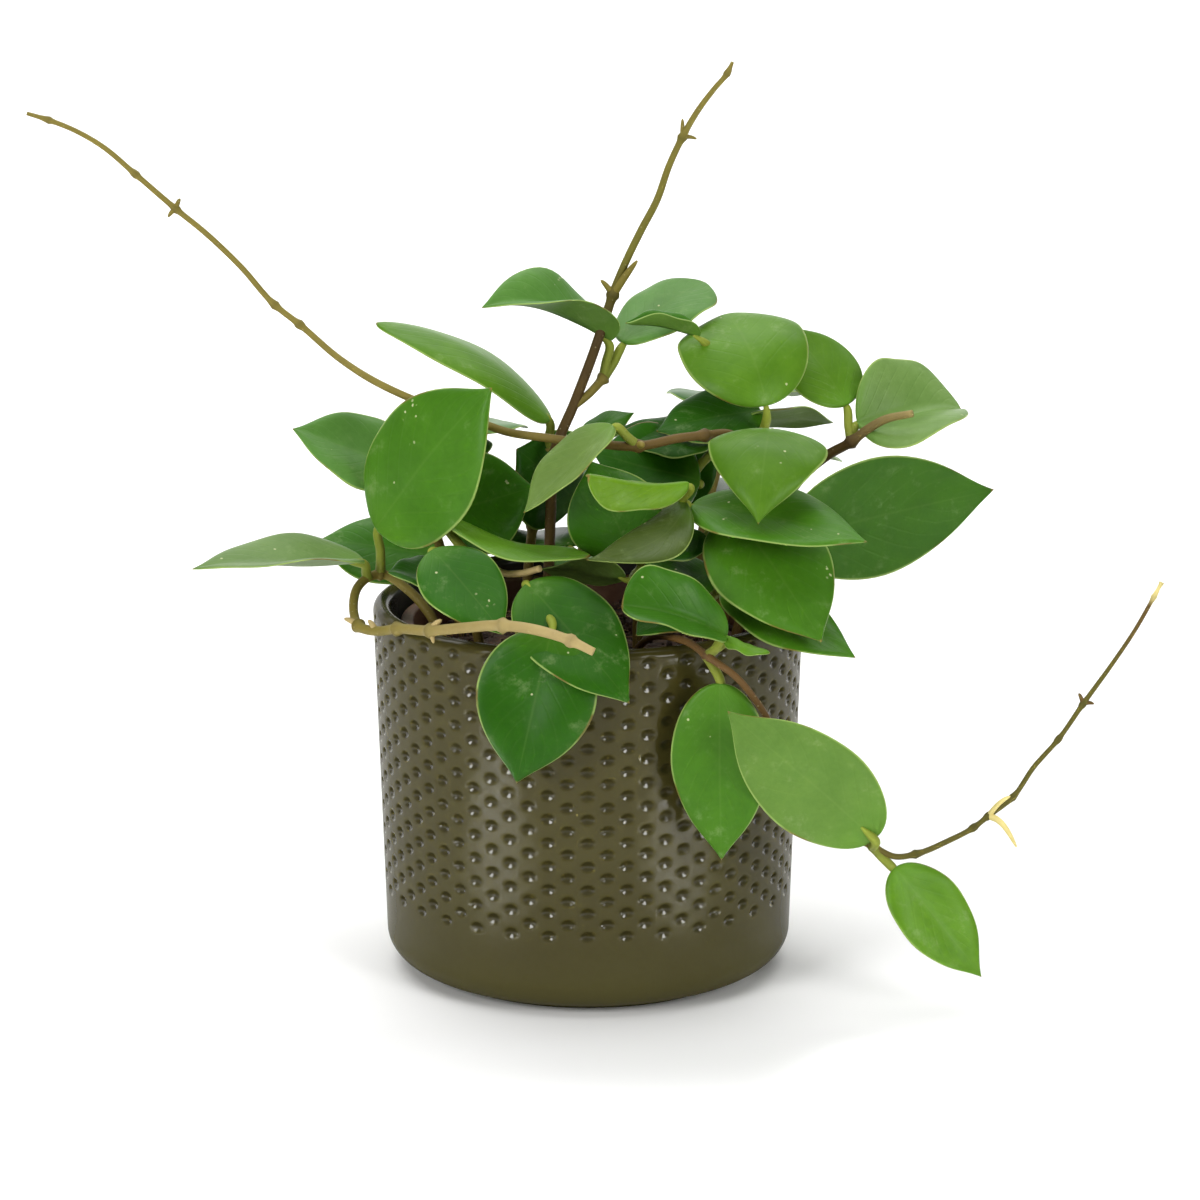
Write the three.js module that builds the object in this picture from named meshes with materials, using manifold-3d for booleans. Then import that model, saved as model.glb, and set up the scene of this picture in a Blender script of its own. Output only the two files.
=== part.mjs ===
// A potted hoya plant: a dimpled ceramic cover pot, a thin nursery pot inside it, soil,
// and leafy stems that stand in holes in the soil. Millimetres, +Z up, +Y away from the
// front, origin at the middle of the pot's underside.

import * as THREE from "three";
import Module from "manifold-3d";

const wasm = await Module();
wasm.setup();

// Cover pot
const potHeight = 122;
const potTopRadius = 70;
const potFootRadius = 66.5; // outside of the wall where the bottom corner starts
const potWall = 6;
const potLip = 3; // half of the wall, so the lip is a half circle
const cornerRadius = 12;
const footRadius = 54;
const footHeight = 1.6;
const potSides = 34; // also the number of dimples in one row

// Dimples: rows one above the other, every second row turned by half a step
const dimpleRows = 24;
const dimpleRowPitch = 3.9;
const dimpleTopRow = 118;
const dimpleDepth = 1.2;

// Nursery pot and soil
const gap = 0.3; // between pieces that rest on or stand in each other
const nurserySides = 20;
const nurseryFootRadius = 45;
const nurseryTopRadius = 58;
const nurseryRimRadius = 61;
const nurseryRimHeight = 5;
const nurseryTop = 116;
const nurseryWall = 1.2;
const soilTop = 106;
const soilMound = 3;
const soilRoughness = 0.8;

// Leaves and stems
const bladeThickness = 1.2;
const bladeBelly = 0.42; // place of the widest part, from the base
const bladeFullness = 1.9; // a larger number rounds the blade's far end
const bladeRows = [0.035, 0.16, 0.38, 0.64, 0.86];
const bladeColumns = [-1, 0, 1];
const petioleRadius = 1.5;
const stemSides = 5;
const swelling = 1.45; // radius of a node, as a share of its stem's radius
const nodeHalfLength = 1.8;
const rootDepth = 16;
const holeClearance = 0.35;
const holeSides = 6;

// Leaves of the back stems
const backPetiole = 9;
const backLength = 50;
const backWidth = 0.64; // share of the length

const vec = (p) => new THREE.Vector3(p[0], p[1], p[2]);
const radians = THREE.MathUtils.degToRad;

// Small repeatable random numbers between 0 and 1.
function seededRandom(seed) {
  let state = seed;
  return () => {
    state = (state * 1664525 + 1013904223) % 4294967296;
    return state / 4294967296;
  };
}

function solidFrom(positions, faces) {
  return new wasm.Manifold(
    new wasm.Mesh({
      numProp: 3,
      vertProperties: Float32Array.from(positions),
      triVerts: Uint32Array.from(faces),
    })
  );
}

// A closed solid from rings of points, each a loop with the same number of points that
// turns left about the way from start to end; the two ends close on a point each. A
// turned step of the loop has its four-sided faces cut along the other diagonal.
function loft(startPoint, rings, endPoint, turned = () => false) {
  const count = rings[0].length;
  const positions = [startPoint, ...rings.flat(), endPoint].flatMap((p) => [p.x, p.y, p.z]);
  const last = rings.length * count + 1;
  const at = (ring, k) => 1 + ring * count + (k % count);
  const faces = [];
  for (let k = 0; k < count; k += 1) {
    faces.push(0, at(0, k + 1), at(0, k));
    faces.push(last, at(rings.length - 1, k), at(rings.length - 1, k + 1));
    for (let ring = 0; ring + 1 < rings.length; ring += 1) {
      const corners = [at(ring, k), at(ring, k + 1), at(ring + 1, k + 1), at(ring + 1, k)];
      if (turned(k)) corners.push(corners.shift());
      const [a, b, c, d] = corners;
      faces.push(a, b, c, a, c, d);
    }
  }
  return solidFrom(positions, faces);
}

function ringAround(centre, side, other, radius, sides) {
  return Array.from({ length: sides }, (_, k) => {
    const turn = (2 * Math.PI * k) / sides;
    return centre
      .clone()
      .addScaledVector(side, radius * Math.cos(turn))
      .addScaledVector(other, radius * Math.sin(turn));
  });
}

// A level ring; height(x, y) may lift its points one by one.
function levelRing([x, y, z], radius, sides, height = () => 0) {
  return ringAround(vec([x, y, z]), vec([1, 0, 0]), vec([0, 1, 0]), radius, sides).map((p) => {
    p.z += height(p.x, p.y);
    return p;
  });
}

// A round bar through points [x, y, z, radius, isNode]; each node is a short swelling of
// the bar.
function stemBar(points) {
  const stations = [];
  points.forEach(([x, y, z, radius, isNode], i) => {
    const here = vec([x, y, z]);
    const before = vec(points[Math.max(i - 1, 0)]);
    const after = vec(points[Math.min(i + 1, points.length - 1)]);
    const along = after.sub(before).normalize();
    if (isNode) {
      stations.push({ at: here.clone().addScaledVector(along, -nodeHalfLength), along, radius });
      stations.push({ at: here, along, radius: radius * swelling });
      stations.push({ at: here.clone().addScaledVector(along, nodeHalfLength), along, radius });
    } else {
      stations.push({ at: here, along, radius });
    }
  });
  let side = vec([1, 0, 0]);
  const rings = stations.map(({ at, along, radius }) => {
    side = side.clone().addScaledVector(along, -side.dot(along)).normalize();
    return ringAround(at, side, along.clone().cross(side), radius, stemSides);
  });
  return loft(stations[0].at, rings, stations.at(-1).at);
}

// Half-width of a blade at u, as a share of its greatest half-width: a round base, the
// belly, and a pointed tip.
function bladeShare(u, belly, fullness) {
  if (u < belly) return Math.sqrt(1 - ((belly - u) / belly) ** 2);
  return (1 - ((u - belly) / (1 - belly)) ** fullness) ** (bladeFullness / fullness);
}

// A blade's middle surface. Its midrib is an arc of "arch" degrees over the chord from
// base to tip, pushed sideways by up to "sweep" mm. Each half leaves the midrib at "fold"
// degrees above the blade's plane and steepens by "curl" degrees to its edge, and the
// blade turns by "twist" degrees from base to tip.
function bladeSurface(base, tip, face, shape) {
  const [width, fold, curl, arch, twist = 0, sweep = 0] = shape;
  const [belly = bladeBelly, fullness = bladeFullness] = shape.slice(6);
  const start = vec(base);
  const chord = vec(tip).sub(start);
  const length = chord.length();
  const axis = chord.normalize();
  const up = vec(face);
  up.addScaledVector(axis, -up.dot(axis)).normalize();
  const side = axis.clone().cross(up);
  const half = radians(arch) / 2;
  const radius = length / (2 * Math.sin(half));

  function frame(u) {
    const angle = half * (1 - 2 * u);
    const normal = up.clone().multiplyScalar(Math.cos(angle)).addScaledVector(axis, -Math.sin(angle));
    const turn = radians(twist) * (u - 0.5);
    const across = side.clone().multiplyScalar(Math.cos(turn)).addScaledVector(normal, Math.sin(turn));
    normal.multiplyScalar(Math.cos(turn)).addScaledVector(side, -Math.sin(turn));
    const rib = start
      .clone()
      .addScaledVector(axis, length / 2 - radius * Math.sin(angle))
      .addScaledVector(up, radius * (Math.cos(angle) - Math.cos(half)))
      .addScaledVector(side, sweep * 4 * u * (1 - u));
    return { rib, across, normal };
  }

  // The point at u along the midrib and t across, lifted by rise along the surface normal.
  function point(u, t, rise = 0) {
    const { rib, across, normal } = frame(u);
    const reach = (width / 2) * bladeShare(u, belly, fullness) * Math.abs(t);
    const slope = radians(fold + curl * Math.abs(t));
    const mean = radians(fold + (curl * Math.abs(t)) / 2);
    const lift = t ? rise * Math.cos(slope) : rise;
    return rib
      .addScaledVector(across, Math.sign(t) * (reach * Math.cos(mean) - rise * Math.sin(slope)))
      .addScaledVector(normal, reach * Math.sin(mean) + lift);
  }

  return { point, axis, side, base: start, tip: vec(tip) };
}

// One leaf: [where its petiole leaves the stem, base, tip, face, shape]. Its loops go
// round the petiole, then round the blade's cross-section; both faces of the blade are
// cut into the same triangles.
function leafSolid([from, base, tip, face, shape]) {
  const surface = bladeSurface(base, tip, face, shape);
  const start = vec(from);
  const way = surface.base.clone().sub(start).normalize();
  const bend = way.clone().add(surface.axis).normalize();
  const sides = 2 * bladeColumns.length;

  function petioleRing(centre, along, radius) {
    const across = surface.side.clone().addScaledVector(along, -surface.side.dot(along)).normalize();
    const ring = ringAround(centre, across.clone().cross(along), across, radius, sides);
    return [ring.at(-1), ...ring.slice(0, -1)];
  }

  const rings = [
    petioleRing(start, way, 1.1 * petioleRadius),
    petioleRing(surface.base, bend, petioleRadius),
    ...bladeRows.map((u) => [
      ...bladeColumns.map((t) => surface.point(u, t, bladeThickness / 2)),
      ...bladeColumns.toReversed().map((t) => surface.point(u, t, -bladeThickness / 2)),
    ]),
  ];
  return loft(start, rings, surface.tip, (k) => k >= bladeColumns.length);
}

// A short bud, leaf scar or leaf stub: [root, tip, root radius].
function stubSolid([root, tip, radius]) {
  const start = vec(root);
  const end = vec(tip);
  const along = end.clone().sub(start).normalize();
  const side = along.clone().cross(vec([0.2, 0.5, 0.8])).normalize();
  const other = along.clone().cross(side);
  const rings = [[0, 1], [0.6, 0.85], [0.95, 0.5]].map(([way, share]) =>
    ringAround(start.clone().lerp(end, way), side, other, radius * share, 4)
  );
  return loft(start, rings, end);
}

// The stems that the front shows. Bars: [x, y, z, radius, 1 at a node]. Each stem's root
// goes straight down into the soil at [x, y].
const frontStems = {
  vine_left: {
    root: [38, 4],
    bars: [
      [
        [40, 2, 125, 1.9], [46, -4, 155, 1.9], [50, -14, 174, 1.8, 1], [45, -22, 181, 1.7],
        [37, -28, 182, 1.6, 1], [29, -32, 182, 1.6], [16, -35, 180, 1.6, 1], [4, -32, 180, 1.55],
        [-13, -27, 181, 1.5], [-26, -22, 182, 1.45], [-37, -17, 185, 1.4], [-54, -9, 189, 1.35],
        [-71, -3, 196, 1.3], [-80, 2, 201, 1.2], [-93, 8, 211, 1.15, 1], [-101, 10, 217, 1.1, 1],
        [-112, 13, 229, 1.05], [-124, 16, 240, 1.05], [-133, 18, 247, 1.05, 1], [-146, 20, 258, 1, 1],
        [-157, 22, 267, 0.95], [-166, 23, 272, 0.9], [-174, 24, 275, 0.9, 1], [-181, 25, 277, 0.7],
      ],
    ],
    leaves: [
      [[16, -35, 180], [8, -37, 187], [-20, -46, 161], [-0.35, -0.5, 0.8], [19, 14, 10, 12]],
      [[50, -14, 174], [58.4, -24, 182.9], [53, -58, 160], [-0.09, -0.85, 0.5], [38, 0, -10, 92, 0, 0, 0.28, 1.8]],
    ],
    stubs: [
      [[-133, 18, 247], [-131.5, 17, 250.5], 0.9],
      [[-133, 18, 247], [-135.5, 17, 244.5], 0.9],
      [[16, -35, 180], [17.5, -39, 181], 1.5],
    ],
  },
  stem_upright: {
    root: [-14, -12],
    bars: [
      [
        [-13, -11, 125, 1.9], [-12, -9, 152, 1.9], [-11, -8, 171, 1.85], [-4, -2, 188, 1.8],
        [1.5, 2, 202, 1.75], [6, 5, 215, 1.7], [8, 6, 221, 1.6, 1], [11, 6, 229, 1.4],
        [17, 5, 242, 1.35], [22, 3, 252, 1.3], [26, 0, 264, 1.2], [30, -2, 273, 1.15, 1],
        [35, -4, 282, 1.05], [40, -6, 289, 0.95], [44, -7, 294, 0.85, 1], [45.5, -8, 297.5, 0.6],
      ],
      [[-5, -3, 186, 1.4], [0, 0, 189.5, 1.5], [5, 5, 194, 1.6, 1]],
    ],
    leaves: [
      [[5, 5, 194], [7, 6, 206], [-34, -6, 219], [0.25, -0.1, 0.95], [36, 34, 4, 52, 34]],
      [[5, 5, 194], [11, 9, 205], [38, 30, 221], [-0.25, -0.4, 0.9], [30, 4, 4, 14, 0, 0, 0.6, 3]],
    ],
    stubs: [
      [[8, 6, 221], [4.2, 5, 226], 1.1],
      [[8, 6, 221], [15.8, 3, 232.6], 1.4],
      [[30, -2, 273], [30, -3, 279], 0.8],
      [[30, -2, 273], [34.5, -2, 272.5], 0.8],
    ],
  },
  stem_trailing: {
    root: [14, -38],
    bars: [
      [
        [15, -41, 114, 1.4], [18, -46, 119.5, 1.3], [22, -53, 123, 1.3], [27, -60.5, 124.3, 1.3],
        [32, -67, 124.2, 1.3], [37, -72, 121.5, 1.25, 1], [46, -77, 116, 1.2], [53, -76, 107, 1.15],
        [60, -73, 94, 1.1], [68, -69, 80, 1.1], [76, -65, 68, 1.1], [83, -62, 60, 1.1],
        [90, -61, 56.5, 1.1, 1], [97, -59, 52.5, 1.05], [104, -55, 52, 1.05, 1], [115, -50, 55, 1],
        [123, -46, 58, 0.95, 1], [128, -43, 61, 0.95, 1], [136, -39, 66, 0.9, 1], [143, -35, 75, 0.9],
        [151, -31, 83, 0.85, 1], [159, -28, 94, 0.9, 1], [168, -25, 106, 0.8], [176, -21, 117, 0.75],
        [182, -18, 127, 0.7, 1], [184.5, -17, 131.5, 0.6],
      ],
    ],
    leaves: [
      [[37, -72, 121.5], [43, -70, 127], [10.5, -76, 138.5], [0.1, -0.6, 0.8], [29, 36, 4, 34, 0, 0, 0.7, 3.4]],
      [[37, -72, 121.5], [42.3, -71, 127.4], [56.3, -78, 124], [0.2, -0.3, 0.9], [7, -35, 0, 10, 0, 0, 0.4, 2.2]],
      [[37, -72, 121.5], [41, -73, 113], [42, -71, 55], [-0.15, -1, 0], [31, 3, 8, 14]],
      [[90, -61, 56.5], [90, -67, 61], [43, -87, 108], [-0.1, 0.97, 0.3], [34, 2, -6, 8]],
      [[90, -61, 56.5], [97, -60, 49], [125, -64, 14], [0.2, -0.9, 0.4], [24, 4, 6, 14]],
    ],
    stubs: [
      [[128, -43, 61], [134.5, -46, 68.5], 0.8],
      [[128, -43, 61], [133, -46, 58], 1.2],
      [[159, -28, 94], [157.5, -28, 97.5], 0.8],
      [[159, -28, 94], [162.5, -28, 94], 0.8],
    ],
  },
  stem_curl: {
    root: [-44, -18],
    bars: [
      [
        [-46, -18, 112, 1.7], [-51, -17, 121, 1.7], [-58, -13, 128, 1.65], [-67, -10, 132.5, 1.6, 1],
        [-71, -13, 132, 1.6], [-74, -18, 130, 1.6], [-75, -24, 126.5, 1.6], [-74.5, -29, 123.5, 1.6],
        [-73, -34, 121.5, 1.7, 1], [-67, -41, 121.5, 1.7], [-60, -48, 124, 1.7, 1], [-49, -60, 126.5, 1.8, 1],
        [-38, -70, 130, 1.8], [-26, -79, 133, 1.8, 1], [-14, -86, 133, 1.75], [-5, -90, 131, 1.6, 1],
        [2, -92, 128, 1.4],
      ],
    ],
    leaves: [
      [[-67, -10, 132.5], [-68, -16, 149], [-30, -36, 199], [-0.3, -0.8, 0.5], [46, 2, 6, 10]],
      [[-71, -13, 132], [-72, -15, 138], [-126, -30, 139], [0, -0.05, 1], [34, 16, 10, 8]],
    ],
    stubs: [
      [[-73, -34, 121.5], [-77.5, -33, 123.5], 1.1],
      [[-67, -41, 121.5], [-69.5, -39, 124.5], 1.1],
      [[-49, -60, 126.5], [-45.5, -62, 130.5], 1.2],
      [[-49, -60, 126.5], [-48, -62, 123], 1],
    ],
  },
  stem_right: {
    root: [49, 6],
    bars: [
      [
        [50, 6, 113, 1.9], [56, 9, 130, 1.9], [62, 10, 148, 1.9], [69, 8, 160, 1.85], [78, 4, 169, 1.8],
        [85, 0, 174, 1.7, 1], [90, -2, 178.5, 1.6], [95, -4, 182, 1.5], [104, -8, 185, 1.3],
      ],
    ],
    leaves: [
      [[85, 0, 174], [84, 6, 185], [65, 22, 208], [0.3, -0.7, 0.6], [27, 4, 8, 10]],
      [[85, 0, 174], [87, 3, 179.5], [121.7, 14, 181.3], [-0.1, -0.6, 0.8], [42, 30, 0, 14, 44, 0, 0.4, 3.4]],
    ],
    stubs: [],
  },
  stem_right_front: {
    root: [42, -26],
    bars: [
      [[42, -27, 120, 1.8], [42, -29, 132, 1.8, 1], [42, -29, 145, 1.7], [41, -29, 155, 1.6, 1], [41, -28, 159, 1.2]],
    ],
    leaves: [
      [[41, -29, 155], [33, -35, 161], [87, -56, 154], [-0.1, -0.3, 0.95], [34, 6, 4, 14]],
      [[41, -29, 155], [45, -34, 158], [73, -64, 124], [0.25, -0.7, 0.65], [42, 2, 6, 14]],
      [[41, -29, 155], [37, -34, 151], [20, -46, 146], [0, -0.6, 0.8], [14, 4, 4, 10]],
      [[42, -29, 132], [43, -40, 136], [84, -57, 117], [0.1, -0.4, 0.9], [30, 4, 4, 8]],
      [[42, -29, 132], [40, -37, 139], [16, -46, 141], [0.1, -0.4, 0.9], [24, 4, 4, 8]],
      [[42, -29, 132], [34, -46, 131], [15, -64, 126], [0, -0.3, 0.95], [18, 4, 4, 8]],
    ],
    stubs: [],
  },
  stem_front: {
    root: [-10, -38],
    bars: [[[-11, -39, 118, 1.8], [-14, -42, 127, 1.8], [-17, -46, 134, 1.7, 1], [-17, -46, 138, 1.2]]],
    leaves: [
      [[-17, -46, 134], [-19, -53, 140], [13, -82, 109], [0.1, -0.9, 0.6], [31, 4, 8, 16]],
      [[-17, -46, 134], [-11, -69, 129], [-22, -79, 82.5], [-0.1, -1, 0.15], [38, 4, 4, 20]],
    ],
    stubs: [],
  },
  stem_left_front: {
    root: [-34, -30],
    bars: [
      [
        [-36, -31, 122, 1.7], [-38, -31, 134, 1.7], [-38, -31, 144, 1.6, 1], [-33, -34, 142, 1.4],
        [-26, -40, 140, 1.2], [-21, -44, 141, 1.2], [-15, -50, 144, 1.2],
      ],
    ],
    leaves: [
      [[-38, -31, 144], [-49, -42, 148], [-26, -67, 127], [0.2, -0.85, 0.5], [26, 4, 8, 14]],
      [[-38, -31, 144], [-45.5, -29, 155.8], [0.8, -50, 148], [0.25, -0.08, 0.97], [21, 4, 4, -38, 0, 0, 0.7, 2.6]],
    ],
    stubs: [],
  },
  stem_left: {
    root: [-42, 8],
    bars: [[[-43, 7, 118, 1.8], [-46, 5, 130, 1.8, 1], [-50, 2, 146, 1.7], [-52, 0, 158, 1.6, 1], [-53, -1, 162, 1.2]]],
    leaves: [
      [[-52, 0, 158], [-56, 8, 162], [-95.5, 2, 178], [0.2, -0.6, 0.75], [32, 4, 4, 10]],
      [[-46, 5, 130], [-48, 6, 134], [-89, 14, 138], [0, -0.6, 0.8], [30, 4, 4, 10]],
      [[-46, 5, 130], [-44, -18, 135], [-64, -26, 137], [0, -0.4, 0.9], [18, 4, 4, 8]],
      [[-52, 0, 158], [-47, -12, 153], [-17, -18, 163], [0, -0.93, 0.36], [34, 2, 4, 8]],
    ],
    stubs: [],
  },
  stem_left_middle: {
    root: [-20, 8],
    bars: [[[-20, 7, 120, 1.8], [-18, 5, 145, 1.7, 1], [-14, 2, 168, 1.6, 1], [-13.5, 1, 172, 1.3]]],
    leaves: [
      [[-14, 2, 168], [-11.9, 1, 180.7], [-68.7, 14, 210.4], [0.45, -0.2, 0.88], [29, -6, -2, 54, 0, 0, 0.5, 2.6]],
      [[-18, 5, 145], [-4, 6, 153], [-23, -6, 173], [0.1, -0.8, 0.5], [36, 2, 4, 8]],
      [[-14, 2, 168], [-2, 4, 174], [15, 8, 182], [-0.1, -0.6, 0.8], [12, 10, 4, 10]],
      [[-18, 5, 145], [-18, 14, 147], [-18, 55, 139], [0, 0.3, 0.95], [28, 4, 6, 24]],
    ],
    stubs: [],
  },
  stem_middle: {
    root: [16, -16],
    bars: [[[16, -17, 118, 1.8], [18, -20, 138, 1.8, 1], [22, -26, 150, 1.7], [27, -33, 158, 1.6, 1], [27, -34, 161, 1.2]]],
    leaves: [
      [[18, -20, 138], [14, -30, 143], [1, -34, 175], [-0.1, -0.9, 0.3], [31, 2, 6, 10]],
      [[27, -33, 158], [31.7, -46, 170.6], [0.2, -56, 175], [0, -0.5, 0.85], [17, -35, 6, -30, 0, 0, 0.7, 3]],
      [[27, -33, 158], [30.8, -40, 163.2], [-0.4, -60, 149.2], [0.1, -0.35, 0.93], [19, 2, 4, 14, 0, -9]],
      [[18, -20, 138], [12, -36, 138], [-15, -38, 141], [0, 0.7, 0.7], [16, 4, 4, 10]],
    ],
    stubs: [],
  },
  stem_centre: {
    root: [24, 12],
    bars: [[[25, 10, 120, 1.8], [28, 2, 148, 1.7, 1], [32, -4, 162, 1.6, 1], [32.5, -5, 166, 1.2]]],
    leaves: [
      [[32, -4, 162], [36, -10, 163], [2, -14, 173], [0, -0.7, 0.7], [36, 2, 4, 10]],
      [[32, -4, 162], [40, -6, 175], [8, -2, 178], [0, -0.4, 0.9], [22, 4, 4, 8]],
      [[28, 2, 148], [20, 6, 157], [43, 8, 171], [0.2, -0.8, 0.5], [26, 4, 4, 8]],
      [[28, 2, 148], [25, 11, 149], [12, 47, 142], [0, 0.3, 0.95], [26, 4, 6, 24]],
    ],
    stubs: [],
  },
  stem_back_right: {
    root: [45, 22],
    bars: [
      [
        [46, 21, 115, 1.8], [54, 10, 140, 1.8, 1], [55, 2, 168, 1.7, 1], [52, 8, 185, 1.6, 1],
        [46, 12, 198, 1.5, 1], [45, 12.5, 202, 1.2],
      ],
    ],
    leaves: [
      [[54, 10, 140], [64, -6, 143], [132, 6, 157], [0.1, 0.95, 0.3], [44, 2, 4, 8]],
      [[55, 2, 168], [57, -13, 188.5], [45, 18, 212.5], [0.1, -0.75, 0.6], [42, 0, -8, 64, 0, 0, 0.6, 3]],
      [[55, 2, 168], [56, 3, 183.5], [22, -7, 179], [0, -0.5, 0.85], [27, 4, 4, 10]],
      [[52, 8, 185], [50, 4, 181], [80, 14, 177.5], [0, 0.45, 0.88], [27, 4, 4, 10]],
      [[46, 12, 198], [36, 0, 209], [12, -6, 214], [0, 0, 1], [14, 54, 4, 10]],
    ],
    stubs: [],
  },
};

// The stems that the front hides: the nodes' places, and for each node its leaves as
// [heading in degrees round the pot from +X, slope in degrees].
const backStems = {
  stem_back_left: {
    seed: 11,
    root: [-34, 32],
    nodes: [[-38, 38, 136], [-45, 44, 152], [-50, 47, 164]],
    leaves: [[[80, -4], [142, -14]], [[98, 2], [125, -8]], [[70, -4], [104, -16]]],
  },
  stem_back_middle: {
    seed: 5,
    root: [-2, 42],
    nodes: [[-2, 46, 126], [1, 50, 138], [3, 52, 146]],
    leaves: [[[58, -6], [118, -6], [266, 2]], [[88, -6], [30, -11]], [[112, -8], [70, -8]]],
  },
  stem_back_far_right: {
    seed: 23,
    root: [36, 36],
    nodes: [[39, 40, 140], [44, 44, 160], [47, 46, 176]],
    leaves: [[[20, -8], [80, -4]], [[44, -14], [108, -8]], [[66, -8], [98, -10]]],
  },
};

// Fills in a back stem: every leaf stands off its node on a short petiole, faces up and
// outwards, and differs a little from the others in heading, length, arch and twist.
function leafyStem({ seed, root, nodes, leaves }) {
  const random = seededRandom(seed);
  const spread = (middle, range) => middle + range * (2 * random() - 1);
  const bar = nodes.map(([x, y, z], i) => [x, y, z, 1.75 - 0.12 * i, 1]);
  const rows = leaves.flatMap((pair, i) =>
    pair.map(([heading, slope]) => {
      const turn = radians(spread(heading, 5));
      const climb = radians(spread(slope, 4));
      const along = vec([Math.cos(turn) * Math.cos(climb), Math.sin(turn) * Math.cos(climb), Math.sin(climb)]);
      const length = spread(backLength, 4);
      const base = vec(nodes[i]).addScaledVector(along, backPetiole).add(vec([0, 0, 2]));
      const tip = base.clone().addScaledVector(along, length);
      const face = [0.3 * Math.cos(turn), 0.3 * Math.sin(turn), 0.95];
      const shape = [length * backWidth, 5, 6, spread(24, 8), spread(0, 14), spread(0, 2)];
      return [nodes[i], base.toArray(), tip.toArray(), face, shape];
    })
  );
  return { root, bars: [[[root[0], root[1], soilTop + soilMound + 4, 1.8], ...bar]], leaves: rows, stubs: [] };
}

const stems = { ...frontStems };
for (const [name, rule] of Object.entries(backStems)) stems[name] = leafyStem(rule);

function stemSolid({ root: [x, y], bars, leaves, stubs }) {
  const radius = bars[0][0][3];
  const rooted = [
    [x, y, soilTop - rootDepth + gap, radius],
    [x, y, soilTop + soilMound + 1, radius],
    ...bars[0],
  ];
  const pieces = [
    ...[rooted, ...bars.slice(1)].map(stemBar),
    ...leaves.map(leafSolid),
    ...stubs.map(stubSolid),
  ];
  return pieces.reduce((whole, piece) => whole.add(piece));
}

// Cover pot: rings of points from the inner floor over the lip to the underside, joined
// whatever their number of points.
function potSolid() {
  const positions = [];
  const faces = [];
  const step = (2 * Math.PI) / potSides;
  const wallRadius = (z) =>
    THREE.MathUtils.mapLinear(z, cornerRadius, potHeight - potLip, potFootRadius, potTopRadius);

  function ring(entries) {
    return entries.map(([angle, radius, z, isPressed = false]) => {
      positions.push(radius * Math.cos(angle), radius * Math.sin(angle), z);
      return { angle, isPressed, index: positions.length / 3 - 1 };
    });
  }

  const plainRing = (radius, z) =>
    ring(Array.from({ length: potSides }, (_, i) => [i * step, radius, z]));

  // A row of dimples: the pressed-in middles and, half-way between them, the wall.
  function dimpleRow(row) {
    const z = dimpleTopRow - row * dimpleRowPitch;
    return ring(
      Array.from({ length: 2 * potSides }, (_, i) => {
        const isPressed = (i + row) % 2 === 0;
        return [(i * step) / 2, wallRadius(z) - (isPressed ? dimpleDepth : 0), z, isPressed];
      })
    );
  }

  // Joins an upper ring to a lower one by taking the next point of whichever is behind.
  // Where both are level, the cut runs between two points that aren't pressed in, so each
  // dimple is a pit of its own.
  function join(upper, lower) {
    const nextAngle = (list, k) => (k + 1 < list.length ? list[k + 1].angle : 2 * Math.PI);
    const at = (list, k) => list[k % list.length];
    let i = 0;
    let j = 0;
    while (i < upper.length || j < lower.length) {
      const lead = nextAngle(upper, i) - nextAngle(lower, j);
      const isLevel = Math.abs(lead) < 1e-6;
      const takesUpper = isLevel ? at(upper, i).isPressed : lead < 0;
      faces.push(at(upper, i).index, at(lower, j).index);
      if (j >= lower.length || (i < upper.length && takesUpper)) {
        i += 1;
        faces.push(at(upper, i).index);
      } else {
        j += 1;
        faces.push(at(lower, j).index);
      }
    }
  }

  const inside = potTopRadius - potWall;
  const lipSide = potLip * Math.SQRT1_2;
  const lipMiddle = potHeight - potLip;
  const rings = [
    plainRing(inside - 8, potWall),
    plainRing(inside - 3, potWall + 3),
    plainRing(inside, lipMiddle),
    plainRing(inside + potLip - lipSide, lipMiddle + lipSide),
    plainRing(inside + potLip, potHeight),
    plainRing(inside + potLip + lipSide, lipMiddle + lipSide),
    plainRing(potTopRadius, lipMiddle),
  ];
  for (let row = 0; row < dimpleRows; row += 1) rings.push(dimpleRow(row));
  const plainTop = dimpleTopRow - dimpleRows * dimpleRowPitch;
  rings.push(plainRing(wallRadius(plainTop), plainTop));
  for (const turn of [0, 30, 60, 90]) {
    const radius = potFootRadius - cornerRadius * (1 - Math.cos(radians(turn)));
    const z = footHeight + (cornerRadius - footHeight) * (1 - Math.sin(radians(turn)));
    rings.push(plainRing(radius, z));
  }
  rings.push(plainRing(footRadius, footHeight));
  rings.push(plainRing(footRadius, 0));
  for (let i = 0; i + 1 < rings.length; i += 1) join(rings[i], rings[i + 1]);

  // The inner floor and the underside.
  for (const [edge, z, isUnderside] of [[rings[0], potWall, false], [rings.at(-1), 0, true]]) {
    positions.push(0, 0, z);
    const centre = positions.length / 3 - 1;
    edge.forEach(({ index }, k) => {
      const next = edge[(k + 1) % edge.length].index;
      faces.push(centre, ...(isUnderside ? [next, index] : [index, next]));
    });
  }
  return solidFrom(positions, faces);
}

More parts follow.
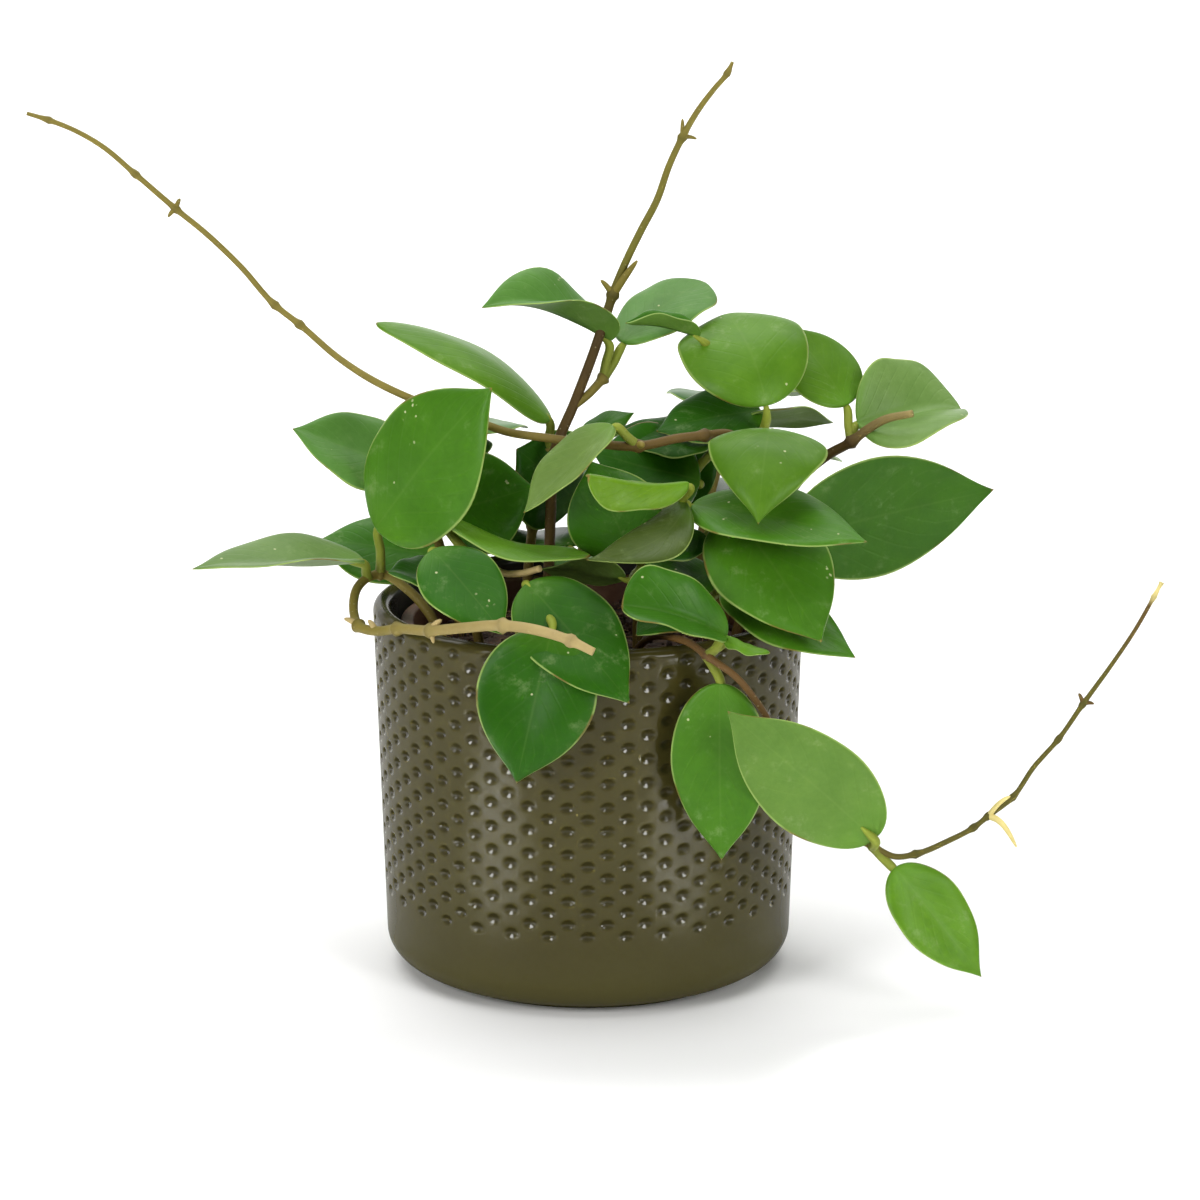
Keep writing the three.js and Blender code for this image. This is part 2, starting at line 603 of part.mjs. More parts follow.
// Nursery pot: a thin tapered wall with a thicker rim, closed over its floor. It stands on
// the cover pot's inner floor.
function nurserySolid() {
  const bottom = potWall + gap;
  const rimBottom = nurseryTop - nurseryRimHeight;
  const outline = [
    [nurseryFootRadius, bottom],
    [nurseryTopRadius, rimBottom],
    [nurseryRimRadius, rimBottom + 0.8],
    [nurseryRimRadius, nurseryTop - 0.8],
    [nurseryRimRadius - 0.8, nurseryTop],
    [nurseryTopRadius - nurseryWall + 0.6, nurseryTop],
    [nurseryTopRadius - nurseryWall, nurseryTop - 0.8],
    [nurseryTopRadius - nurseryWall, rimBottom],
    [nurseryFootRadius - nurseryWall, bottom + nurseryWall],
  ];
  const rings = outline.map(([radius, z]) => levelRing([0, 0, z], radius, nurserySides));
  return loft(vec([0, 0, bottom]), rings, vec([0, 0, bottom + nurseryWall]));
}

// Soil: fills the nursery pot to an uneven, slightly mounded top, with a plain hole for
// every stem.
function soilSolid() {
  const bottom = potWall + gap + nurseryWall + gap;
  const rimBottom = nurseryTop - nurseryRimHeight;
  const inside = (z) =>
    THREE.MathUtils.mapLinear(z, potWall + gap, rimBottom, nurseryFootRadius, nurseryTopRadius) -
    nurseryWall - 2 * gap;
  const random = seededRandom(3);
  const edge = inside(soilTop);
  const mound = (x, y) => soilMound * (1 - (x * x + y * y) / edge ** 2) + soilRoughness * (random() - 0.5);
  const rings = [
    levelRing([0, 0, bottom], inside(bottom), nurserySides),
    levelRing([0, 0, soilTop], edge, nurserySides),
    ...[0.8, 0.55, 0.25].map((share) => levelRing([0, 0, soilTop], edge * share, nurserySides, mound)),
  ];
  const whole = loft(vec([0, 0, bottom]), rings, vec([0, 0, soilTop + soilMound]));
  const holes = Object.values(stems).map(({ root: [x, y], bars }) => {
    const radius = (bars[0][0][3] + holeClearance) / Math.cos(Math.PI / holeSides);
    const ends = [soilTop - rootDepth, soilTop + rootDepth].map((z) => [x, y, z]);
    return loft(vec(ends[0]), ends.map((end) => levelRing(end, radius, holeSides)), vec(ends[1]));
  });
  return holes.reduce((rest, hole) => rest.subtract(hole), whole);
}

const solids = { pot: potSolid(), nursery_pot: nurserySolid(), soil: soilSolid() };
for (const [name, stem] of Object.entries(stems)) solids[name] = stemSolid(stem);

const looks = {
  pot: { color: 0x57503b, roughness: 0.4 },
  nursery_pot: { color: 0x5a3420, roughness: 0.6 },
  soil: { color: 0x33241a, roughness: 1 },
};
const leafLook = { color: 0x3d7f26, roughness: 0.4 };

function geometryOf(solid) {
  const mesh = solid.getMesh();
  const geometry = new THREE.BufferGeometry();
  geometry.setAttribute("position", new THREE.BufferAttribute(Float32Array.from(mesh.vertProperties), 3));
  geometry.setIndex(new THREE.BufferAttribute(Uint32Array.from(mesh.triVerts), 1));
  geometry.computeVertexNormals();
  return geometry;
}

const group = new THREE.Group();
for (const [name, solid] of Object.entries(solids)) {
  const material = new THREE.MeshStandardMaterial({ metalness: 0, ...(looks[name] ?? leafLook) });
  const mesh = new THREE.Mesh(geometryOf(solid), material);
  mesh.name = name;
  group.add(mesh);
}

export default group;
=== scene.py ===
import math

import bpy
import numpy as np
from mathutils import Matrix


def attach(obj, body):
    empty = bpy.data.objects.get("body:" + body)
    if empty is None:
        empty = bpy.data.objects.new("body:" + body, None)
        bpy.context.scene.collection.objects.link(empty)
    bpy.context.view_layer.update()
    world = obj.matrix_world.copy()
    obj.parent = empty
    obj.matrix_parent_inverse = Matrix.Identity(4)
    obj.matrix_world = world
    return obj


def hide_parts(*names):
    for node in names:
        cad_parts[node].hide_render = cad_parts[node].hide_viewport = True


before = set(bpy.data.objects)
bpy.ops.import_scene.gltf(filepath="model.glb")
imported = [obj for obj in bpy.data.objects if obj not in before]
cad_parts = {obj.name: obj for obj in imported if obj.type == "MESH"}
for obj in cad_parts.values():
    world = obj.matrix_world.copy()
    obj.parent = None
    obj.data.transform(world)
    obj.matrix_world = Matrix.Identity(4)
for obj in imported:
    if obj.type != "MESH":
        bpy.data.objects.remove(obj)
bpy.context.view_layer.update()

mm = 0.001
anyAngle = 6.28  # radians; phases and headings are drawn below it

studio = {
    "target": (0.0039, 0.0, 0.1214),
    "distance": 1.4,
    "elevation": 14.0,  # degrees above the horizon
    "lens": 128.9,  # mm
    "sensor": 36.0,  # mm wide
    "world": 0.24,
    "lights": [  # name, place, aim, size, watts, spread in degrees
        ("leftBox", (-0.95, -1.0, 0.62), (0, 0, 0.1), (0.5, 0.6), 10.5, 180),
        ("rightBox", (0.9, -1.05, 0.62), (0, 0, 0.1), (0.45, 0.6), 9.0, 180),
        ("topLight", (-0.22, -0.1, 1.55), (0, 0, 0.1), (1.5, 1.5), 12.0, 180),
        ("leftPool", (-0.68, -0.6, 0.6), (-0.235, -0.23, 0.0), (0.03, 0.18), 1.7, 8),
        ("rightPool", (0.68, -0.6, 0.6), (0.235, -0.23, 0.0), (0.03, 0.18), 1.6, 8),
        ("backdropLight", (0.0, 1.15, 2.3), (0, 2.5, 0.5), (3.6, 1.6), 90.0, 180),
    ],
}


def addObject(name, data):
    made = bpy.data.objects.new(name, data)
    bpy.context.scene.collection.objects.link(made)
    return made


def lookAt(thing, place, target):
    # a tilt up from straight down and a turn about Z point its -Z axis at the target
    direction = np.subtract(target, place)
    turn = math.atan2(-direction[0], direction[1])
    tilt = math.atan2(direction[2], math.hypot(direction[0], direction[1]))
    thing.location = place
    thing.rotation_euler = (math.pi / 2 + tilt, 0.0, turn)


def addCamera():
    # in front of the target, raised along a circle by the elevation
    tilt, away = math.radians(studio["elevation"]), studio["distance"]
    data = bpy.data.cameras.new("camera")
    data.lens, data.sensor_width, data.sensor_fit = studio["lens"], studio["sensor"], "HORIZONTAL"
    data.clip_end = 50.0
    camera = addObject("camera", data)
    x, y, z = studio["target"]
    lookAt(camera, (x, y - away * math.cos(tilt), z + away * math.sin(tilt)), studio["target"])
    bpy.context.scene.camera = camera


def addLights():
    for name, place, aim, (width, height), watts, spread in studio["lights"]:
        data = bpy.data.lights.new(name, "AREA")
        data.shape = "RECTANGLE"
        data.size, data.size_y = width, height
        data.energy, data.spread = watts, math.radians(spread)
        lookAt(addObject(name, data), place, aim)
    world = bpy.data.worlds.new("studio")
    world.use_nodes = True
    sky = world.node_tree.nodes["Background"].inputs
    sky["Color"].default_value, sky["Strength"].default_value = (1, 1, 1, 1), studio["world"]
    bpy.context.scene.world = world
    bpy.context.scene.view_settings.view_transform = "Standard"


addCamera()
addLights()
print("camera and lights ready")


def srgb(red, green, blue):  # 0..255 as seen on a screen, to linear
    c = np.array([red, green, blue]) / 255.0
    return np.where(c <= 0.04045, c / 12.92, ((c + 0.055) / 1.055) ** 2.4)


def palette(**tones):
    return {name: srgb(*tone) for name, tone in tones.items()}


class Signal:
    # a socket whose sums, products and ramps become nodes
    def __init__(self, finish, socket):
        self.finish = finish
        self.socket = socket

    def maths(self, operation, *others):
        values = dict(enumerate([self, *others]))
        return self.finish.node("Math", {"operation": operation}, values)

    def __add__(self, other):
        return self.maths("ADD", other)

    def __sub__(self, other):
        return self.maths("SUBTRACT", other)

    def __mul__(self, other):
        return self.maths("MULTIPLY", other)

    def __rsub__(self, other):
        return self.finish.node("Math", {"operation": "SUBTRACT"}, {0: other, 1: self})

    __radd__ = __add__
    __rmul__ = __mul__

    def __abs__(self):
        return self.maths("ABSOLUTE")

    def ramp(self, low, high):  # 0 below low, 1 above high, smooth between
        values = {"Value": self, "From Min": low, "From Max": high}
        return self.finish.node("MapRange", {"interpolation_type": "SMOOTHSTEP"}, values)


class Finish:
    # a material with a Principled shader and short ways to add nodes
    def __init__(self, name, **sockets):
        self.material = bpy.data.materials.new(name)
        self.material.use_nodes = True
        self.tree = self.material.node_tree
        self.shader = self.tree.nodes["Principled BSDF"]
        for key, value in sockets.items():
            self.set(key, value)

    def set(self, key, value):
        labels = {
            "colour": "Base Color", "coat": "Coat Weight", "coatRoughness": "Coat Roughness",
            "specular": "Specular IOR Level",
        }
        self.plug(self.shader.inputs[labels.get(key, key.capitalize())], value)

    def plug(self, socket, value):
        if isinstance(value, Signal):
            self.tree.links.new(value.socket, socket)
        elif hasattr(value, "__len__") and len(value) == 3 and len(socket.default_value) == 4:
            socket.default_value = (*value, 1.0)
        else:
            socket.default_value = value

    def node(self, kind, settings=None, values=None, output=0):
        made = self.tree.nodes.new("ShaderNode" + kind)
        for key, value in (settings or {}).items():
            setattr(made, key, value)
        for key, value in (values or {}).items():
            self.plug(made.inputs[key], value)
        return Signal(self, made.outputs[output])

    def place(self):
        return self.node("TexCoord", output="Object")

    def noise(self, place, scale, detail=2.0, roughness=0.5):
        values = {"Vector": place, "Scale": scale, "Detail": detail, "Roughness": roughness}
        return self.node("TexNoise", values=values)

    def spots(self, place, scale):  # distance from the nearest of many scattered points
        return self.node("TexVoronoi", values={"Vector": place, "Scale": scale})

    def attribute(self, name):
        return self.node("Attribute", {"attribute_name": name}, output="Color")

    def mix(self, share, first, second, blend="MIX"):
        settings = {"data_type": "RGBA", "blend_type": blend}
        return self.node("Mix", settings, {0: share, 6: first, 7: second}, output=2)

    def parts(self, vector):
        made = self.tree.nodes.new("ShaderNodeSeparateXYZ")
        self.plug(made.inputs[0], vector)
        return [Signal(self, socket) for socket in made.outputs]

    def bump(self, height, strength, distance):
        values = {"Height": height, "Strength": strength, "Distance": distance}
        self.plug(self.shader.inputs["Normal"], self.node("Bump", values=values))


def ringFaces(rows, loop):
    # quads between loops of points, each joined round, and a fan of triangles at each end;
    # point 0 closes the first loop and the last point closes the last
    ring = np.arange(rows - 1)[:, None] * loop
    here = np.arange(loop)[None, :]
    after = (here + 1) % loop
    quads = np.stack([ring + here, ring + after, ring + loop + after, ring + loop + here], -1)
    last = (rows - 1) * loop + 1
    fans = [
        np.stack([np.zeros(loop, int), after[0] + 1, here[0] + 1], -1),
        np.stack([np.full(loop, rows * loop + 1), last + here[0], last + after[0]], -1),
    ]
    return quads.reshape(-1, 4) + 1, np.concatenate(fans)


def loopsToPart(start, rings, end, slot, **values):
    # rings is rows x loop x 3; values are per-point arrays, rows x loop x n, or one value
    rows, loop = rings.shape[:2]
    points = np.concatenate([[start], rings.reshape(-1, 3), [end]])
    quads, triangles = ringFaces(rows, loop)
    part = {"points": points, "quads": quads, "triangles": triangles, "slot": slot}
    for key, value in values.items():
        value = np.asarray(value, float)
        width = value.shape[-1]
        full = np.broadcast_to(value, (rows, loop, width)).reshape(-1, width)
        part[key] = np.concatenate([full[:1], full, full[-1:]])
    return part


def addPiece(name, parts, materials, replaced, colours=(), uv=None):
    # parts are joined into one mesh object that rides on the root
    offset = np.cumsum([0] + [len(part["points"]) for part in parts])
    quads = np.concatenate([part["quads"] + start for part, start in zip(parts, offset)])
    triangles = np.concatenate([part["triangles"] + start for part, start in zip(parts, offset)])
    slots = np.concatenate([
        np.full(len(part[kind]), part["slot"]) for kind in ("quads", "triangles") for part in parts
    ])
    points = np.concatenate([part["points"] for part in parts]) * mm
    corners = np.concatenate([quads.ravel(), triangles.ravel()])
    starts = np.cumsum([0] + [4] * len(quads) + [3] * len(triangles))[:-1]
    mesh = bpy.data.meshes.new(name)
    mesh.vertices.add(len(points))
    mesh.vertices.foreach_set("co", points.astype(np.float32).ravel())
    mesh.loops.add(len(corners))
    mesh.loops.foreach_set("vertex_index", corners.astype(np.int32))
    mesh.polygons.add(len(starts))
    mesh.polygons.foreach_set("loop_start", starts.astype(np.int32))
    mesh.polygons.foreach_set("material_index", slots.astype(np.int32))
    mesh.shade_smooth()
    mesh.update(calc_edges=True)
    for key in colours:
        rgb = np.concatenate([part[key] for part in parts])
        rgba = np.concatenate([rgb, np.ones((len(rgb), 1))], 1).astype(np.float32)
        mesh.attributes.new(key, "FLOAT_COLOR", "POINT").data.foreach_set("color", rgba.ravel())
    if uv:
        flat = np.concatenate([part[uv] for part in parts])[corners]
        mesh.uv_layers.new(name=uv).data.foreach_set("uv", flat.astype(np.float32).ravel())
    for material in materials:
        mesh.materials.append(material)
    piece = addObject(name, mesh)
    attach(piece, "root")
    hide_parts(*replaced)


def unit(vectors):
    return vectors / np.linalg.norm(vectors, axis=-1, keepdims=True)


def fullTurn(count):
    return np.linspace(0, 2 * np.pi, count, endpoint=False)


def latheRings(radius, height, turn):
    # circles round the Z axis: x is the radius times the cosine of the turn, y times its sine
    x, y = radius * np.cos(turn), radius * np.sin(turn)
    return np.stack(np.broadcast_arrays(x, y, height), -1)


def smoothPath(points, count):
    # a smooth curve through the points: Hermite pieces whose end slopes are those of the
    # chord between the neighbours, sampled evenly along the way
    points = np.asarray(points, float)
    steps = np.linalg.norm(np.diff(points[:, :3], axis=0), axis=1)
    way = np.concatenate([[0.0], np.cumsum(steps)])
    slope = np.gradient(points, way, axis=0)
    at = np.linspace(0.0, way[-1], count)
    k = np.clip(np.searchsorted(way, at, side="right") - 1, 0, len(way) - 2)
    span = (way[k + 1] - way[k])[:, None]
    s = ((at - way[k]) / span[:, 0])[:, None]
    path = (
        (2 * s**3 - 3 * s**2 + 1) * points[k] + (s**3 - 2 * s**2 + s) * span * slope[k]
        + (3 * s**2 - 2 * s**3) * points[k + 1] + (s**3 - s**2) * span * slope[k + 1]
    )
    return path, at, way


def tubeRings(path, radius, sides):
    # circles round a path, set square to it, which start on the side that the path as a
    # whole runs along least
    along = unit(np.gradient(path, axis=0))
    reference = np.linalg.svd(along, full_matrices=False)[2][-1]
    side = unit(reference - along * (along @ reference)[:, None])
    other = np.cross(along, side)
    turn = fullTurn(sides)[None, :, None]
    spread = side[:, None] * np.cos(turn) + other[:, None] * np.sin(turn)
    return path[:, None] + spread * np.asarray(radius)[:, None, None]


pot = {
    "height": 122.0,
    "topRadius": 70.0,
    "footRadius": 54.0,
    "wallFoot": 66.5,  # outside radius where the bottom corner starts
    "wall": 6.0,
    "lip": 3.0,
    "corner": 12.0,
    "footHeight": 1.6,
    "footEdge": 0.4,  # bevel of the foot
    "dimples": 34,  # in one row
    "rows": 24,
    "rowPitch": 3.9,
    "topRow": 118.0,
    "dimpleDepth": 0.85,
    "dimpleWidth": 2.4,  # half of it
    "dimpleHeight": 1.95,  # half of it
    "bowl": 1.1,  # a larger number narrows the bowl of a dimple
    "pointsPerDimple": 14,
    "fineRings": 164,  # over the dimples
    "insideRings": 10,  # the profile's last rings, past the top of the lip
    "insideProfile": [  # [distance in from the wall's inner face, height]
        [0.2, 110], [1.1, 80], [1.9, 50], [2.8, 16], [3, 9], [8, 6], [34, 6],
    ],
    "glaze": srgb(60, 55, 24),
    "glazeThin": srgb(70, 66, 33),
    # painted light from the floor, near the foot
    "footPaintedLight": srgb(74, 70, 36),
    "inside": srgb(58, 56, 52),
    "pitPoolAndShade": srgb(30, 27, 11),  # painted shade with some pooled glaze: darker in the dimples, most in their upper halves
    "roughness": 0.17,
    "coatRoughness": 0.14,
    "coatFoot": 0.18,
    "coatWall": 0.22,  # more than at the foot
}
dimplesFrom = pot["topRow"] - pot["rows"] * pot["rowPitch"]  # height


def potProfile():
    # radius and height from the foot, round the bottom corner, up the wall, over the lip
    # and down the inside
    corner = np.radians(np.linspace(90, 0, 14))
    cornerRadius = pot["wallFoot"] - pot["corner"] * (1 - np.cos(corner))
    cornerHeight = pot["footHeight"] + (pot["corner"] - pot["footHeight"]) * (1 - np.sin(corner))
    lipHeight = pot["height"] - pot["lip"]
    wallHeight = np.concatenate([
        np.linspace(pot["corner"] + 1.5, dimplesFrom, 6),
        np.linspace(dimplesFrom + 0.14 * pot["rowPitch"], lipHeight, pot["fineRings"]),
    ])
    share = (wallHeight - pot["corner"]) / (lipHeight - pot["corner"])
    wallRadius = pot["wallFoot"] + (pot["topRadius"] - pot["wallFoot"]) * share
    lip = np.radians(np.linspace(15, 180, 12))
    middle = pot["topRadius"] - pot["lip"]
    inwards, insideHeight = np.transpose(pot["insideProfile"])
    foot, edge = pot["footRadius"], pot["footEdge"]
    radius = np.concatenate([
        [20, 45, foot - edge, foot, foot], cornerRadius, wallRadius,
        middle + pot["lip"] * np.cos(lip), pot["topRadius"] - pot["wall"] - inwards,
    ])
    height = np.concatenate([
        [0, 0, 0, edge, pot["footHeight"]], cornerHeight, wallHeight,
        lipHeight + pot["lip"] * np.sin(lip), insideHeight,
    ])
    return radius, height


def dimpleDepth(turn, height, radius):
    # how deep the wall is pressed in and how far below its dimple's middle each point is,
    # as shares: oval bowls in rows, every second row turned by half a step; a bowl's depth
    # is a power of one minus the square of the distance from its middle
    row = (pot["topRow"] - height) / pot["rowPitch"]
    depth = np.zeros(np.broadcast(turn, height).shape)
    below = np.zeros(depth.shape)
    for nearest in (np.floor(row), np.floor(row) + 1):
        step = turn / (2 * np.pi) * pot["dimples"] - 0.5 * (nearest % 2)
        across = (step - np.round(step)) * 2 * np.pi * radius / pot["dimples"]
        down = (row - nearest) * pot["rowPitch"]
        away = np.hypot(across / pot["dimpleWidth"], down / pot["dimpleHeight"])
        bowl = np.clip(1 - away**2, 0, 1) ** pot["bowl"]
        isHere = (nearest >= 0) & (nearest < pot["rows"]) & (bowl > depth)
        depth = np.where(isHere, bowl, depth)
        below = np.where(isHere, down / pot["dimpleHeight"], below)
    return depth, below


def potMaterial():
    # the coat alone shines, and it lies thickest in the lower halves of the dimples
    glaze = Finish("darkOliveGlaze", specular=0.0, coatRoughness=pot["coatRoughness"])
    place = glaze.place()
    _, _, z = glaze.parts(place)
    clouds = glaze.noise(place, 28.0, 4.0, 0.6)
    fine = glaze.noise(place, 420.0, 2.0)
    colour = glaze.mix((clouds - 0.35) * 0.9 + (fine - 0.5) * 0.25, pot["glaze"], pot["glazeThin"])
    pit, low, isInside = glaze.parts(glaze.attribute("pit"))
    # painted shade: the dimples darkened, most in their upper halves, with some glaze pooled in them
    colour = glaze.mix(pit.ramp(0.0, 0.5) * (0.75 - low * 0.45), colour, pot["pitPoolAndShade"])
    # painted light: the glaze lighter towards the foot, standing in for light thrown up from the
    # floor
    colour = glaze.mix((1 - z.ramp(0.003, 0.026)) * 0.5, colour, pot["footPaintedLight"])
    glaze.set("colour", glaze.mix(isInside, colour, pot["inside"]))
    wallCoat = z.ramp(0.0, 0.02) * pot["coatWall"] + pot["coatFoot"]
    glaze.set("coat", wallCoat + pit.ramp(0.02, 0.2) * (low.ramp(0.4, 0.65) * 0.95 - 0.36))
    glaze.set("roughness", pot["roughness"] + (clouds - 0.5) * 0.1 + isInside * 0.35)
    glaze.bump(glaze.noise(place, 160.0, 3.0), 0.06, 0.0006)
    return glaze.material


def buildPot():
    # the profile carried round the Z axis and pressed in where the dimples are
    radius, height = (values[:, None] for values in potProfile())
    turn = fullTurn(pot["dimples"] * pot["pointsPerDimple"])[None, :]
    isWall = (height > dimplesFrom) & (height <= pot["height"] - pot["lip"] + 0.9)
    isWall &= radius > pot["topRadius"] - pot["lip"] - 0.2
    depth, below = dimpleDepth(turn, height, radius)
    depth = depth * isWall
    rings = latheRings(radius - depth * pot["dimpleDepth"], height, turn)
    isInside = np.arange(len(height))[:, None] >= len(height) - pot["insideRings"]
    pit = np.stack([depth, below / 2 + 0.5, np.broadcast_to(isInside, depth.shape)], -1)
    part = loopsToPart([0, 0, 0], rings, [0, 0, pot["wall"]], 0, pit=pit)
    addPiece("coverPot", [part], [potMaterial()], ["pot"], ["pit"])


buildPot()
print("cover pot built")

nursery = {
    "foot": 45.0,
    "top": 58.0,
    "rim": 61.0,
    "rimHeight": 5.0,
    "rimEdge": 0.9,  # height of the rim's rounded top
    "height": 116.0,
    "bottom": 6.3,  # height of its underside, on the cover pot's floor
    "wall": 1.2,
    "sides": 160,
    "colour": srgb(78, 46, 28),
    "dust": srgb(112, 84, 56),
}

soil = {
    "top": 106.0,
    "mound": 3.0,
    "edge": nursery["top"] - nursery["wall"] - 0.6,
    "bottom": 8.0,
    "taper": 0.79,  # radius at the bottom as a share of that at the top
    "lumps": 26,  # waves that make up the lumps
    "lumpHeight": 0.17,
    "rings": 70,
    "sides": 200,
    "crumbs": 520,
    "crumbSize": (0.5, 1.6),
    "fibres": 150,
    "fibreLength": (3.0, 7.5),  # half of it
    "fibreRadius": (0.14, 0.34),
    "fibrePoints": 7,
    "peat": srgb(44, 29, 20),
    "peatLight": srgb(84, 58, 38),
    "fibre": srgb(140, 104, 66),
    "seed": 3,
}


def nurseryMaterial():
    plastic = Finish("brownPlastic")
    place = plastic.place()
    clouds = plastic.noise(place, 60.0, 4.0, 0.65)
    dust = clouds.ramp(0.45, 0.75) * 0.7
    plastic.set("colour", plastic.mix(dust, nursery["colour"], nursery["dust"]))
    plastic.set("roughness", 0.42 + clouds * 0.25)
    plastic.bump(plastic.noise(place, 700.0, 2.0), 0.15, 0.0004)
    return plastic.material


def buildNursery():
    # a tapered wall, a thicker rim with a rounded top, and the inside down to the floor
    foot, top, rim, bottom = (nursery[key] for key in ("foot", "top", "rim", "bottom"))
    rimFoot = nursery["height"] - nursery["rimHeight"]
    inner, floor = top - nursery["wall"], bottom + nursery["wall"]
    roll = np.radians(np.linspace(0, 180, 9))
    radius = np.concatenate([
        [20, foot - 1.5, foot, top, top + 0.3, rim],
        (inner + rim) / 2 + (rim - inner) / 2 * np.cos(roll),
        [inner, foot - nursery["wall"], 20],
    ])
    height = np.concatenate([
        [bottom, bottom, bottom + 1.0, rimFoot - 0.3, rimFoot, rimFoot + 0.6],
        nursery["height"] - nursery["rimEdge"] * (1 - np.sin(roll)),
        [rimFoot, floor, floor],
    ])
    rings = latheRings(radius[:, None], height[:, None], fullTurn(nursery["sides"])[None, :])
    part = loopsToPart([0, 0, bottom], rings, [0, 0, floor], 0)
    addPiece("nurseryPot", [part], [nurseryMaterial()], ["nursery_pot"])


def soilHeight(x, y):
    # a low mound with lumps: the sum of waves that run in many directions
    random = np.random.default_rng(soil["seed"])
    height = soil["mound"] * (1 - (x**2 + y**2) / soil["edge"] ** 2)
    heading = random.uniform(0, 2 * np.pi, soil["lumps"])
    pace = 2 * np.pi / random.uniform(4.0, 22.0, soil["lumps"])
    phase = random.uniform(0, 2 * np.pi, soil["lumps"])
    wave = (x[..., None] * np.cos(heading) + y[..., None] * np.sin(heading)) * pace + phase
    return soil["top"] + height + soil["lumpHeight"] * np.sin(wave).sum(-1)


def soilMaterial():
    peat = Finish("peat", roughness=0.95)
    place = peat.place()
    crumbs = peat.spots(place, 420.0)
    clouds = peat.noise(place, 130.0, 5.0, 0.7)
    colour = peat.mix(clouds.ramp(0.42, 0.68), soil["peat"], soil["peatLight"])
    peat.set("colour", peat.mix((1 - crumbs.ramp(0.0, 0.35)) * 0.5, colour, soil["peatLight"]))
    peat.bump(crumbs + clouds * 1.5, 0.8, 0.0012)
    fibre = Finish("coirFibre", roughness=0.85)
    threads = fibre.noise(fibre.place(), 500.0, 3.0)
    fibre.set("colour", fibre.mix(threads, soil["fibre"], soil["peatLight"]))
    return [peat.material, fibre.material]


def crumbParts(random):
    # loose crumbs: balls of four rings of six points, each scaled by its own three sizes
    count = soil["crumbs"]
    reach = (nursery["top"] - 4.5) * np.sqrt(random.uniform(0, 1, count))
    turn = random.uniform(0, 2 * np.pi, count)
    x, y = reach * np.cos(turn), reach * np.sin(turn)
    size = random.uniform(*soil["crumbSize"], (count, 3)) * random.uniform(0.5, 1.1, (count, 1))
    middle = np.stack([x, y, soilHeight(x, y) + size[:, 2] * 0.5], -1)
    tall = np.radians([-60, -20, 20, 60])[:, None]
    shape = latheRings(np.cos(tall), np.sin(tall), np.radians(np.arange(0, 360, 60)))
    pole = size * [0, 0, 1]
    return [
        loopsToPart(place - up, place + shape * own, place + up, 0)
        for place, up, own in zip(middle, pole, size)
    ]


def fibreParts(random):
    # coir fibres that lie on the soil: thin tubes along parabolas
    parts = []
    share = np.linspace(-1, 1, soil["fibrePoints"])
    for _ in range(soil["fibres"]):
        reach = (nursery["top"] - 9) * math.sqrt(random.uniform())
        turn, heading = random.uniform(0, anyAngle, 2)
        half, bend = random.uniform(*soil["fibreLength"]), random.uniform(-0.35, 0.35)
        along = share * half
        off = bend * half * share**2
        x = reach * math.cos(turn) + along * math.cos(heading) - off * math.sin(heading)
        y = reach * math.sin(turn) + along * math.sin(heading) + off * math.cos(heading)
        if np.hypot(x, y).max() >= nursery["top"] - 2.5:
            continue
        z = soilHeight(x, y) + 0.35 + random.uniform(0.1, 0.8) * (1 - share**2)
        path = np.stack([x, y, z], -1)
        radius = np.full(len(share), random.uniform(*soil["fibreRadius"]))
        rings = tubeRings(path, radius, 5)
        parts.append(loopsToPart(path[0], rings, path[-1], 1))
    return parts


def buildSoil():
    # a tapered body whose top is the mound, sampled on circles
    random = np.random.default_rng(soil["seed"])
    radius = soil["edge"] * np.linspace(1, 0.02, soil["rings"])[:, None]
    turn = fullTurn(soil["sides"])[None, :]
    x, y = radius * np.cos(turn), radius * np.sin(turn)
    top = np.stack([x, y, soilHeight(x, y)], -1)
    low = latheRings(radius[:1] * soil["taper"], soil["bottom"], turn)
    body = loopsToPart([0, 0, soil["bottom"]], np.concatenate([low, top]), top[-1].mean(0), 0)
    parts = [body, *crumbParts(random), *fibreParts(random)]
    addPiece("pottingSoil", parts, soilMaterial(), ["soil"])


buildNursery()
buildSoil()
print("nursery pot and soil built")

leaf = {
    "seed": 7,
    "rows": 34,
    "columns": 21,
    "start": 0.035,  # how near the base the first row lies, as a share of half a turn
    "halfThickness": 0.58,
    "belly": 0.42,
    "fullness": 1.9,  # a larger number rounds the blade's far end
    "petiole": 1.5,
    "petioleSteps": 22,
    "petioleSides": 12,
    "wave": 0.6,  # mm that a margin may rise and fall
    "roll": 0.045,  # how far the margins droop, as a share of the width
    "swell": 0.45,  # mm of slow unevenness over the blade
    "groove": 0.14,  # mm deep along the midrib
    "edge": 0.35,  # mm that the outermost edge turns down
    "drawnTip": 0.28,  # how much the outline narrows just before the tip
    "brightness": (0.88, 1.12),  # each blade's own share of its tone
    "tones": palette(  # upper side; the pale and dusty tones are also lighter and greyer as painted sheen on upper leaves that face the light
        deep=(42, 92, 8), mid=(60, 112, 20), fresh=(72, 122, 24), light=(88, 130, 28),
        sage=(108, 132, 66), dusty=(88, 132, 58), pale=(112, 142, 76), lime=(106, 146, 24),
        olive=(72, 88, 34),
    ),
    "under": srgb(104, 126, 62),
    "lit": srgb(50, 94, 4),  # an underside with light behind it
    # pale margin: partly the leaf's own pale edge, partly painted highlight on its rounded edge
    "margin": srgb(150, 172, 92),
    "marginBrown": srgb(122, 98, 50),
    "speck": srgb(206, 208, 160),
    # dust and painted sheen: pale cloudy patches on the upper side
    "dust": srgb(150, 172, 116),
    "petioleTone": srgb(140, 154, 52),
    "petioleDark": srgb(116, 124, 44),
}

